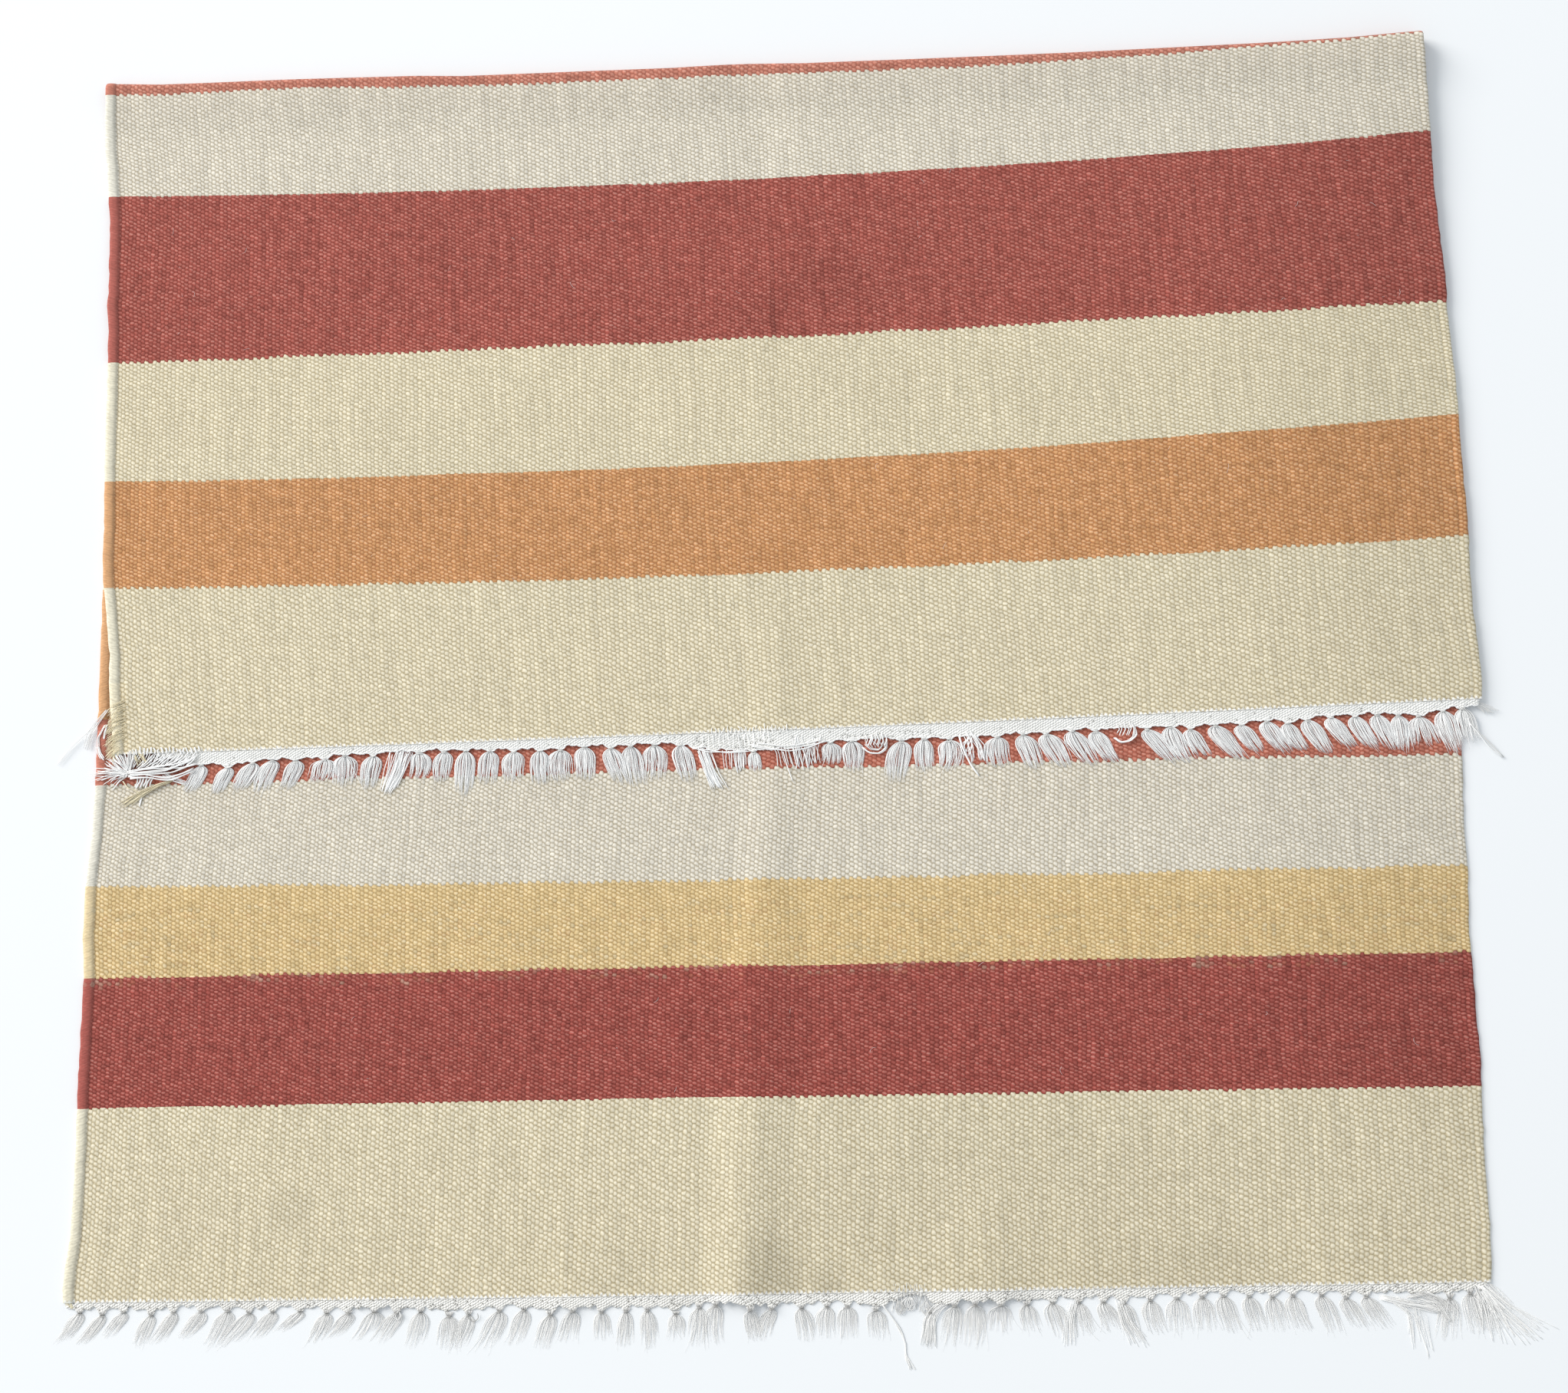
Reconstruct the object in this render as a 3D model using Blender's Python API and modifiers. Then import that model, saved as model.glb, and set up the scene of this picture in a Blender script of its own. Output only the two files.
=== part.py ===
"""A striped flat-woven kilim rug, folded once across its width and lying on a flat surface.

The longer layer lies flat underneath. The cloth turns over at the far edge and the shorter
layer comes back on top of it, a little skewed, so that it overhangs at one side. Each woven
end has a narrow cotton heading and a fringe of knotted warp ends.
Metres, +Z up, +X across the width, +Y towards the fold, origin under the middle of the rug.
"""
import math
from collections import namedtuple
from itertools import chain, pairwise

import bmesh
import bpy
from mathutils import Vector

# Thicknesses and clearances
CLOTH_THICK = 0.0030
HEADING_THICK = 0.0024
FRINGE_THICK = 0.0030
LAYER_GAP = 0.0015
SEAM_GAP = 0.0003
FRINGE_SEAM_GAP = 0.0006
FRINGE_REST_GAP = 0.0009

# The turn at the far edge, measured at the middle of the cloth's thickness
FOLD_RADIUS = 0.0055
FOLD_STEPS = 8
SETTLE_LENGTH = 0.060

# Headings and fringes, measured away from the woven end
HEADING_DEPTH = 0.0125
TASSEL_PITCH = 0.0253
KNOT_BAND = 0.004
DROOP_LENGTH = 0.012

# The unravelled corner: the far end's heading and fringe start this share of the way across
FAR_END_START = 0.058

# A line of the weave across one layer, from its left edge to its right edge. The bow is how
# far the line's middle stands above (+) or below (-) the straight line between its ends.
Line = namedtuple("Line", "left_x left_y right_x right_y bow")

FOLD = Line(-0.7190, 1.2487, 0.6775, 1.3074, -0.0050)
LOWER_LAYER = (
    Line(-0.7040, -0.0130, 0.6915, 0.0110, -0.0010),
    Line(-0.7015, 0.1785, 0.6920, 0.2010, 0.0010),
    Line(-0.7005, 0.3070, 0.6900, 0.3340, 0.0000),
    Line(-0.7035, 0.3990, 0.6895, 0.4215, -0.0040),
    Line(-0.6970, 0.5050, 0.6885, 0.5320, 0.0000),
    Line(-0.6990, 0.6900, 0.6870, 0.7240, 0.0000),
    Line(-0.7075, 0.9700, 0.6820, 1.0160, -0.0020),
)
UPPER_LAYER = (
    Line(-0.7094, 1.1240, 0.6830, 1.1955, -0.0150),
    Line(-0.7050, 0.9430, 0.6920, 1.0105, -0.0050),
    Line(-0.7010, 0.8160, 0.6990, 0.8880, -0.0145),
    Line(-0.6965, 0.7040, 0.7050, 0.7600, -0.0105),
    Line(-0.6800, 0.5320, 0.7092, 0.5895, -0.0030),
)
ROWS_BETWEEN_LINES = 2

# The crease left by storing the rug folded lengthwise: a ridge in the lower layer and a
# shallow valley in the upper one. Rows run from the near end to the fold.
Ridge = namedtuple("Ridge", "y crest_x height left_width right_width")
RIDGE = (
    Ridge(-0.060, -0.0500, 0.0060, 0.036, 0.064),
    Ridge(0.080, -0.0420, 0.0050, 0.034, 0.058),
    Ridge(0.330, -0.0270, 0.0034, 0.030, 0.046),
    Ridge(0.510, -0.0130, 0.0030, 0.030, 0.042),
    Ridge(0.640, -0.0100, 0.0014, 0.030, 0.040),
    Ridge(0.780, -0.0100, 0.0000, 0.030, 0.040),
    Ridge(1.300, -0.0330, 0.0000, 0.030, 0.040),
)
Valley = namedtuple("Valley", "y crest_x depth half_width")
VALLEY = (
    Valley(0.550, 0.0020, 0.0000, 0.036),
    Valley(0.740, -0.0010, 0.0004, 0.036),
    Valley(0.950, -0.0100, 0.0006, 0.032),
    Valley(1.030, -0.0155, 0.0008, 0.026),
    Valley(1.150, -0.0250, 0.0006, 0.032),
    Valley(1.300, -0.0330, 0.0006, 0.036),
)

# Columns of the cloth: distances from the crease line, then even steps out to the edges
NEAR_CREASE = (-0.075, -0.040, -0.018, 0.0, 0.022, 0.048, 0.080)
COLUMNS_TO_EDGE = 5

# One tassel: how far from the heading, and how wide it is there, measured from its middle
Station = namedtuple("Station", "reach half_width")
TASSEL = (
    Station(KNOT_BAND, 0.0042),
    Station(0.012, 0.0050),
    Station(0.024, 0.0085),
    Station(0.038, 0.0100),
)

# How far the tassels lean from straight out, in degrees towards +X, by share of the width
Lean = namedtuple("Lean", "share degrees")
NEAR_LEAN = (Lean(0.0, -30), Lean(0.15, -14), Lean(0.45, 0), Lean(0.80, 8), Lean(1.0, 38))
FAR_LEAN = (Lean(0.0, -24), Lean(0.25, -6), Lean(0.70, 2), Lean(0.90, 20), Lean(1.0, 42))


def mix(first, second, share):
    """Go a share of the way from one row of numbers to another of the same kind."""
    return type(first)(*(a + (b - a) * share for a, b in zip(first, second)))


def read_table(table, key):
    """Read a table of rows between its rows, with the first column as the key."""
    if key <= table[0][0]:
        return table[0]
    for lower, upper in pairwise(table):
        if key <= upper[0]:
            return mix(lower, upper, (key - lower[0]) / (upper[0] - lower[0]))
    return table[-1]


def bump(offset, width):
    """A smooth hump: 1 in the middle, 0 from the given width outwards."""
    if abs(offset) >= width:
        return 0.0
    return 0.5 + 0.5 * math.cos(math.pi * offset / width)


def ridge_height(x, y):
    """How far the lengthwise crease lifts the lower layer off the surface."""
    row = read_table(RIDGE, y)
    offset = x - row.crest_x
    return row.height * bump(offset, row.right_width if offset > 0 else row.left_width)


def valley_depth(x, y):
    """How far the lengthwise crease sinks the upper layer."""
    row = read_table(VALLEY, y)
    return row.depth * bump(x - row.crest_x, row.half_width)


def shift(line, distance):
    """Move a line of the weave towards the fold."""
    return line._replace(left_y=line.left_y + distance, right_y=line.right_y + distance)


def on_line(line, share):
    """The place on a line of the weave, a share of the way across, seen from above."""
    x = line.left_x + (line.right_x - line.left_x) * share
    y = line.left_y + (line.right_y - line.left_y) * share
    return x, y + line.bow * 4 * share * (1 - share)


def share_at(line, x):
    return (x - line.left_x) / (line.right_x - line.left_x)


def column_shares(line, crease_x):
    """Shares across the line for every column, so that columns follow the crease."""
    middle = [share_at(line, crease_x + offset) for offset in NEAR_CREASE]
    steps = [step / COLUMNS_TO_EDGE for step in range(COLUMNS_TO_EDGE)]
    left = [middle[0] * step for step in steps]
    right = [1 - (1 - middle[-1]) * step for step in reversed(steps)]
    return left + middle + right


def fill_in(lines):
    """Add evenly mixed lines between the given ones."""
    filled = [lines[0]]
    for lower, upper in pairwise(lines):
        for step in range(1, ROWS_BETWEEN_LINES + 2):
            filled.append(mix(lower, upper, step / (ROWS_BETWEEN_LINES + 1)))
    return filled


# The line where the cloth leaves the surface, and the half-turn's rise from there
TURN_LINE = shift(FOLD, -(FOLD_RADIUS + CLOTH_THICK / 2))
LOWER_MIDDLE = CLOTH_THICK / 2
UPPER_UNDERSIDE = CLOTH_THICK + LAYER_GAP


def upper_rise(x, y):
    """Height of the upper layer's underside: high beside the turn, then settled."""
    distance = on_line(TURN_LINE, share_at(TURN_LINE, x))[1] - y
    settled = min(max(distance / SETTLE_LENGTH, 0.0), 1.0)
    settled = settled * settled * (3 - 2 * settled)
    extra = 2 * FOLD_RADIUS - CLOTH_THICK - LAYER_GAP
    return UPPER_UNDERSIDE + extra * (1 - settled) + ridge_height(x, y) - valley_depth(x, y)


def lower_rows():
    """Points of the lower layer, from the near end to the line where the turn starts."""
    for line in fill_in((*LOWER_LAYER, TURN_LINE)):
        crease_x = read_table(RIDGE, line.left_y).crest_x
        places = [on_line(line, share) for share in column_shares(line, crease_x)]
        yield [Vector((x, y, LOWER_MIDDLE + ridge_height(x, y))) for x, y in places]


def turn_rows():
    """Points of the half-turn, between the lower layer and the upper one."""
    shares = column_shares(TURN_LINE, RIDGE[-1].crest_x)
    places = [on_line(TURN_LINE, share) for share in shares]
    for step in range(1, FOLD_STEPS):
        angle = math.pi * step / FOLD_STEPS
        out = FOLD_RADIUS * math.sin(angle)
        rise = FOLD_RADIUS * (1 - math.cos(angle))
        sunk = rise / (2 * FOLD_RADIUS)
        yield [
            Vector((x, y + out, LOWER_MIDDLE + rise - sunk * valley_depth(x, y)))
            for x, y in places
        ]


def upper_rows():
    """Points of the upper layer, from the end of the turn to its own woven end."""
    for line in fill_in((TURN_LINE, *UPPER_LAYER)):
        crease_x = read_table(VALLEY, line.left_y).crest_x
        places = [on_line(line, share) for share in column_shares(line, crease_x)]
        yield [Vector((x, y, CLOTH_THICK / 2 + upper_rise(x, y))) for x, y in places]


def thicken(obj, thickness):
    """Give an open surface its thickness, half to each side."""
    solid = obj.modifiers.new("thickness", "SOLIDIFY")
    solid.thickness = thickness
    solid.offset = 0.0
    solid.use_even_offset = True


def make_object(name, mesh, material, thickness):
    mesh.materials.append(material)
    obj = bpy.data.objects.new(name, mesh)
    rug.objects.link(obj)
    thicken(obj, thickness)
    return obj


def make_sheet(name, rows, material, thickness):
    """A sheet of cloth: a grid whose rows are laid out along the given rows of points."""
    cloth = bmesh.new()
    bmesh.ops.create_grid(cloth, x_segments=len(rows[0]) - 1, y_segments=len(rows) - 1, size=1)
    for vert, place in zip(cloth.verts, chain.from_iterable(rows), strict=True):
        vert.co = place
    mesh = bpy.data.meshes.new(name)
    cloth.to_mesh(mesh)
    cloth.free()
    return make_object(name, mesh, material, thickness)


def heading_rows(end_line, start_share, height_at):
    """Two rows of points: the heading's edge at the cloth, and its outer edge."""
    for distance in (SEAM_GAP, SEAM_GAP + HEADING_DEPTH):
        line = shift(end_line, -distance)
        shares = column_shares(line, read_table(RIDGE, line.left_y).crest_x)
        shares = [start_share] + [share for share in shares if share > start_share]
        places = [on_line(line, share) for share in shares]
        yield [Vector((x, y, HEADING_THICK / 2 + height_at(x, y))) for x, y in places]


def make_fringe(name, end_line, start_share, lean_table, height_at, material):
    """A comb of tassels: a narrow band of knots, and one spreading tooth for each tassel."""
    edge = shift(end_line, -(SEAM_GAP + HEADING_DEPTH + FRINGE_SEAM_GAP))
    width = (edge.right_x - edge.left_x) * (1 - start_share)
    count = round(width / TASSEL_PITCH)
    fringe = bmesh.new()

    def corner_pair(share, reach, half_width, lean):
        """The two corners of one tassel at one distance from the heading."""
        x, y = on_line(edge, share)
        along = Vector((-math.sin(lean), math.cos(lean), 0)) * -reach
        sideways = Vector((math.cos(lean), math.sin(lean), 0)) * half_width
        for side in (-1, 1):
            place = Vector((x, y, 0)) + along + sideways * side
            place.z = FRINGE_THICK / 2 + height_at(place.x, place.y, reach)
            yield fringe.verts.new(place)

    band_end = None
    for number in range(count):
        share = start_share + (1 - start_share) * (number + 0.5) / count
        lean = math.radians(read_table(lean_table, share).degrees)
        root = TASSEL[0].half_width
        top_left, top_right = corner_pair(share, 0.0, root, 0.0)
        left, right = corner_pair(share, KNOT_BAND, root, 0.0)
        if band_end:
            fringe.faces.new((band_end[0], band_end[1], left, top_left))
        fringe.faces.new((top_left, left, right, top_right))
        band_end = top_right, right
        for station in TASSEL[1:]:
            next_left, next_right = corner_pair(share, station.reach, station.half_width, lean)
            fringe.faces.new((left, next_left, next_right, right))
            left, right = next_left, next_right
    mesh = bpy.data.meshes.new(name)
    fringe.to_mesh(mesh)
    fringe.free()
    return make_object(name, mesh, material, FRINGE_THICK)


def yarn(name, colour, roughness):
    material = bpy.data.materials.new(name)
    material.use_nodes = True
    shader = material.node_tree.nodes["Principled BSDF"]
    shader.inputs["Base Color"].default_value = (*colour, 1.0)
    shader.inputs["Roughness"].default_value = roughness
    shader.inputs["Metallic"].default_value = 0.0
    return material


def centre_on_origin(objects):
    """Move the whole rug so that the origin is under the middle of its box."""
    bpy.context.view_layer.update()
    graph = bpy.context.evaluated_depsgraph_get()
    corners = [
        obj.matrix_world @ Vector(corner)
        for obj in (item.evaluated_get(graph) for item in objects)
        for corner in obj.bound_box
    ]
    lowest = Vector(min(corner[axis] for corner in corners) for axis in range(3))
    highest = Vector(max(corner[axis] for corner in corners) for axis in range(3))
    middle = (lowest + highest) / 2
    for item in objects:
        item.location = (-middle.x, -middle.y, 0)


for item in list(bpy.data.objects):
    bpy.data.objects.remove(item, do_unlink=True)
rug = bpy.data.collections.new("kilim_rug")
bpy.context.scene.collection.children.link(rug)

wool = yarn("wool_weft", (0.60, 0.42, 0.28), 0.95)
cotton = yarn("cotton_warp", (0.76, 0.76, 0.74), 0.95)

near_end = LOWER_LAYER[0]
far_end = UPPER_LAYER[-1]


def near_fringe_height(x, y, reach):
    """The near fringe lies on the surface that the rug lies on, and follows the ridge."""
    return ridge_height(x, y)


def far_fringe_height(x, y, reach):
    """The far fringe drops from its heading's level until it lies on the lower layer."""
    drop = (LAYER_GAP - FRINGE_REST_GAP) * min(reach / DROOP_LENGTH, 1.0)
    return UPPER_UNDERSIDE - drop + ridge_height(x, y)


cloth_rows = [*lower_rows(), *turn_rows(), *upper_rows()]
near_heading = list(heading_rows(near_end, 0.0, ridge_height))
far_heading = list(heading_rows(far_end, FAR_END_START, upper_rise))
centre_on_origin([
    make_sheet("kilim_cloth", cloth_rows, wool, CLOTH_THICK),
    make_sheet("heading_near", near_heading, cotton, HEADING_THICK),
    make_sheet("heading_far", far_heading, cotton, HEADING_THICK),
    make_fringe("fringe_near", near_end, 0.0, NEAR_LEAN, near_fringe_height, cotton),
    make_fringe("fringe_far", far_end, FAR_END_START, FAR_LEAN, far_fringe_height, cotton),
])
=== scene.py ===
"""A striped kilim rug, folded once across its width, with knotted cotton fringes.

Every piece is laid out in the rug's own measure: X across its width from the middle, Y from
the near woven end towards the fold, Z up from the surface. Lengths are in metres.
"""
import math
from collections import namedtuple
from functools import partialmethod
from itertools import pairwise

import bpy
import numpy as np
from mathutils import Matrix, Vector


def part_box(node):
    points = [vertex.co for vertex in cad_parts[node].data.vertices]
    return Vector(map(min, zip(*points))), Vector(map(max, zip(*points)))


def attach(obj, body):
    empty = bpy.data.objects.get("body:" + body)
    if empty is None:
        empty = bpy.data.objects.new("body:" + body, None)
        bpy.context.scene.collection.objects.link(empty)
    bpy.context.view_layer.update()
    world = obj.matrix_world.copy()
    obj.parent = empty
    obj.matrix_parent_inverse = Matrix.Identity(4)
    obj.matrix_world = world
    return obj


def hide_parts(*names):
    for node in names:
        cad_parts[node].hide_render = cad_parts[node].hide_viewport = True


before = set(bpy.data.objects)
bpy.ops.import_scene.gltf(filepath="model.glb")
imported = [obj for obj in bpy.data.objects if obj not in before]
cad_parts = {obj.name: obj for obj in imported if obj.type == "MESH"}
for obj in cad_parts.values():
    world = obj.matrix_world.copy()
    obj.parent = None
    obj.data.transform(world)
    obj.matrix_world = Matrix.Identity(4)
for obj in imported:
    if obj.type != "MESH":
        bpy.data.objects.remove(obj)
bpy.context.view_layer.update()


# ---------------------------------------------------------------------------------------
# The cloth. One length of weft-faced wool on cotton warps, with stripes right across it.
# It lies flat, turns over once at the far edge and comes back on itself, a little askew.
# The coloured wefts turn round the outer warps, which makes a cord along each side.

def rows_of(kind, rows):
    """A table whose rows are all of one kind."""
    return tuple(kind(*row) for row in rows)


RUG_WIDTH = 1.40
CLOTH_THICK = 0.0030
LAYER_GAP = 0.0015
FOLD_RADIUS = 0.0055
TURN_ROWS = 14
SETTLE_LENGTH = 0.060
ROW_STEP = 0.0070
END_ROUNDING = 0.0004
WARPS = 324
WARP_SPREAD = 0.09

# Lines of the weave across each layer, from the left edge to the right one, with the count of
# weft beads woven up to each. The fold isn't along one weft: it drifts by a few beads.
Line = namedtuple("Line", "left_x left_y right_x right_y bow beads drift")
FOLD = Line(-0.7190, 1.2487, 0.6775, 1.3074, -0.0050, 271.4, 1)
TURN_BEADS = 3.5
LOWER_LAYER = rows_of(Line, (
    (-0.7040, -0.0085, 0.6915, 0.0115, -0.0015, 0, 0),
    (-0.7015, 0.1785, 0.6920, 0.2010, 0.0010, 35, 0),
    (-0.7005, 0.3070, 0.6900, 0.3340, 0.0000, 65, 0),
    (-0.7035, 0.3990, 0.6895, 0.4215, -0.0040, 84, 0),
    (-0.6970, 0.5010, 0.6885, 0.5335, 0.0025, 107, 0),
    (-0.6990, 0.6900, 0.6870, 0.7240, 0.0000, 149, 0),
    (-0.7040, 0.9700, 0.6800, 1.0160, -0.0020, 211, 0),
    (-0.7060, 1.1200, 0.6780, 1.1700, -0.0040, 245, 0.5),
))
UPPER_LAYER = rows_of(Line, (
    (-0.7094, 1.1240, 0.6830, 1.1955, -0.0150, 299, 0),
    (-0.7050, 0.9430, 0.6920, 1.0105, -0.0050, 338, 0),
    (-0.7010, 0.8160, 0.6990, 0.8880, -0.0145, 366, 0),
    (-0.6965, 0.7040, 0.7050, 0.7600, -0.0105, 392, 0),
    (-0.6800, 0.5320, 0.7092, 0.5895, -0.0030, 425, 0),
))
# The weft pulls the side edges in and out as it is beaten down: (beads woven, millimetres
# outwards). The fold has dips in it: (share of the way across, millimetres inwards), and its
# line drifts: (share, beads).
LEFT_EDGE = (
    (0, 3.0), (3, 3.9), (6, 3.1), (9, 0.8), (14, -0.8), (27, -0.8), (32, 0.0), (39, 0.8),
    (53, 0.8), (67, 0.8), (74, 2.3), (80, 0.8), (97, 0.0), (104, 1.6), (111, 1.6), (275, 0.0),
    (280.5, 3.1), (287.6, 4.7), (293, 3.1), (300, 3.1), (304, 0.8), (322, 0.8), (325, 2.3),
    (329, 0.0), (343, 0.0), (350, 0.8), (361, 1.6), (376, 1.6), (387, 3.1), (394, 0.8),
    (400, 0.0), (406, -0.8), (412, 1.6), (421, 0.8),
)
RIGHT_EDGE = (
    (0, 2.5), (4, 3.8), (12, 3.5), (21, 1.4), (35, 1.2), (41.5, 2.7), (48, 0.8), (62, 0.0),
    (69, -1.8), (83, 0.4), (92, -1.2), (105, 0.8), (275, 1.0), (287, 1.5), (301, 0.0),
    (311, -1.2), (326, 1.2), (333, 3.0), (340, 1.2), (359, 2.7), (373, 0.8), (389, 0.8),
    (398, -0.8), (407, -0.8), (414, 1.6), (420, 3.0), (425, 2.0),
)
FOLD_DIPS = (
    (0.0, -0.8), (0.04, 1.6), (0.11, 0.6), (0.18, 0.0), (0.235, 0.3), (0.27, 2.3), (0.37, 1.6),
    (0.43, 2.0), (0.47, 0.3), (0.49, -0.2), (0.53, 2.3), (0.62, 2.5), (0.73, 3.0), (0.85, 2.5),
    (0.945, 2.5), (0.99, 0.5),
)
FOLD_DIP_FADE = 0.10
FOLD_DRIFT = (
    (0.00, 0.15), (0.12, 0.60), (0.30, 0.35), (0.50, 0.20),
    (0.60, 0.42), (0.70, 0.58), (0.75, 0.97), (0.80, 1.28),
    (0.85, 1.65), (0.90, 2.00), (0.95, 2.20), (1.00, 2.30),
)

# The lengthwise storage crease: a ridge in the lower layer, (y, crest x, height, left width,
# right width), and a valley in the upper one, (y, crest x, depth, half width).
RIDGE = (
    (-0.060, -0.0500, 0.0060, 0.036, 0.064),
    (0.080, -0.0420, 0.0050, 0.034, 0.058),
    (0.330, -0.0270, 0.0034, 0.030, 0.046),
    (0.510, -0.0130, 0.0030, 0.030, 0.042),
    (0.640, -0.0100, 0.0014, 0.030, 0.040),
    (0.780, -0.0100, 0.0000, 0.030, 0.040),
    (1.300, -0.0330, 0.0000, 0.030, 0.040),
)
VALLEY = (
    (0.550, 0.0020, 0.0000, 0.036),
    (0.740, -0.0010, 0.0004, 0.036),
    (0.950, -0.0100, 0.0006, 0.032),
    (1.030, -0.0155, 0.0008, 0.026),
    (1.150, -0.0250, 0.0010, 0.034),
    (1.230, -0.0300, 0.0016, 0.038),
    (1.300, -0.0330, 0.0018, 0.040),
)
# Small swells, where the cloth stands a little off what is under it. The near end's edge
# waves; the upper layer is slack in places.
Swell = namedtuple("Swell", "x y left_width right_width half_length height")
LOWER_SWELLS = rows_of(Swell, (
    (0.200, -0.010, 0.085, 0.055, 0.150, 0.0045),
    (0.090, -0.010, 0.030, 0.040, 0.060, 0.0016),
    (-0.205, -0.015, 0.045, 0.050, 0.070, 0.0022),
    (-0.400, -0.015, 0.045, 0.050, 0.060, 0.0020),
))
UPPER_SWELLS = rows_of(Swell, (
    (-0.520, 1.235, 0.090, 0.060, 0.100, 0.0012),
    (-0.110, 1.270, 0.100, 0.060, 0.130, 0.0014),
    (0.040, 1.240, 0.060, 0.120, 0.120, 0.0010),
    (0.075, 1.050, 0.050, 0.090, 0.060, 0.0010),
    (-0.330, 0.860, 0.180, 0.160, 0.120, 0.0012),
    (0.480, 0.900, 0.260, 0.230, 0.300, 0.0022),
    (0.060, 0.800, 0.060, 0.080, 0.080, 0.0008),
    (0.700, 1.250, 0.220, 0.100, 0.300, 0.0070),
))

# The selvedges. The left one is a full round cord with a groove inside it, the right flatter.
Cord = namedtuple("Cord", "width rise groove")
LEFT_CORD = Cord(0.0110, 0.0009, 0.0004)
RIGHT_CORD = Cord(0.0080, 0.0003, 0.0003)
CORD_FULLNESS = 0.8
GROOVE_ASIDE = 0.0008
GROOVE_WIDTH = 0.0022
# The side edges are rounded off over these widths, down to a thin rim, and each waves a
# little: (wavelength, height). Waves and pulls fade away from the edge.
SHOWN_ROUNDING = 0.0030
LYING_ROUNDING = 0.0014
RIM_SHARE = 0.0006
EDGE_WAVES = (0.031, 0.0003), (0.015, 0.0002)
PULL_FADE = 0.060
WAVE_FADE = 0.018
# Columns of points: these distances in from either edge, and even ones between
EDGE_COLUMNS = (0.0, 0.0004, 0.0011, 0.0022, 0.0036, 0.0052, 0.0068, 0.0083, 0.0096, 0.0108,
                0.0120, 0.0134, 0.0155, 0.0190, 0.0250)
INNER_COLUMNS = 118


def mix(first, second, share):
    """Go a share of the way from one row of a table to another."""
    return type(first)(*(a + (b - a) * share for a, b in zip(first, second)))


def read_table(table, keys):
    """Read the columns of a table between its rows, by its first column."""
    columns = np.array(table, dtype=float).T
    read = [np.interp(keys, columns[0], column) for column in columns[1:]]
    return read if len(read) > 1 else read[0]


def bump(offset, width):
    """A smooth hump: 1 in the middle, 0 from the given width outwards."""
    return 0.5 + 0.5 * np.cos(np.pi * np.clip(np.abs(offset) / width, 0, 1))


def uneven(places, seed, *waves):
    """A smooth unevenness along a length: waves of (wavelength, height), summed."""
    draw = np.random.default_rng(seed)
    total = np.zeros_like(places, dtype=float)
    for wavelength, height in waves:
        for stretch in (0.73, 1.0, 1.41):
            phase = draw.uniform(0, 2 * np.pi)
            total += height / 1.7 * np.sin(2 * np.pi * places / (wavelength * stretch) + phase)
    return total


def lopsided(offset, left_width, right_width):
    """A smooth hump that is wider on one side than on the other."""
    return bump(offset, np.where(offset > 0, right_width, left_width))


def swell_height(swells, x, y):
    """How high all of a layer's swells lift it at a place."""
    total = np.zeros_like(x)
    for swell in swells:
        hump = lopsided(x - swell.x, swell.left_width, swell.right_width)
        total += swell.height * hump * bump(y - swell.y, swell.half_length)
    return total


def lower_lift(x, y):
    """How far the lower layer's underside stands off the surface."""
    crest_x, height, left_width, right_width = read_table(RIDGE, y)
    ridge = height * lopsided(x - crest_x, left_width, right_width)
    return ridge + swell_height(LOWER_SWELLS, x, y)


def shift(line, distance):
    """Move a line of the weave towards the fold."""
    return line._replace(left_y=line.left_y + distance, right_y=line.right_y + distance)


def on_line(line, share):
    """The place on a line of the weave, a share of the way across, seen from above."""
    x = line.left_x + (line.right_x - line.left_x) * share
    y = line.left_y + (line.right_y - line.left_y) * share
    return x, y + line.bow * 4 * share * (1 - share)


TURN_LINE = shift(FOLD, -(FOLD_RADIUS + CLOTH_THICK / 2))
UPPER_UNDERSIDE = CLOTH_THICK + LAYER_GAP


def ease(share):
    """The same share from 0 to 1, but gentle at both ends."""
    share = np.clip(share, 0, 1)
    return share * share * (3 - 2 * share)


def warp_count(share):
    """How many warps lie to the left, a share of the way across."""
    return WARPS * (share + WARP_SPREAD * share * (1 - share))


def upper_lift(x, y):
    """Height of the upper layer's underside: high beside the turn, then settled."""
    share = (x - TURN_LINE.left_x) / (TURN_LINE.right_x - TURN_LINE.left_x)
    settled = ease((on_line(TURN_LINE, share)[1] - y) / SETTLE_LENGTH)
    crest_x, depth, half_width = read_table(VALLEY, y)
    valley = depth * bump(x - crest_x, half_width)
    extra = (2 * FOLD_RADIUS - UPPER_UNDERSIDE) * (1 - settled)
    rise = UPPER_UNDERSIDE + extra + swell_height(UPPER_SWELLS, x, y) - valley
    return rise + lower_lift(x, y)


def rows_between(lines):
    """Lines of the weave at about every ROW_STEP, the given ones among them."""
    filled = [lines[0]]
    for lower, upper in pairwise(lines):
        steps = math.ceil(abs(upper.left_y - lower.left_y) / ROW_STEP)
        filled += [mix(lower, upper, step / steps) for step in range(1, steps + 1)]
    return filled


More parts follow.
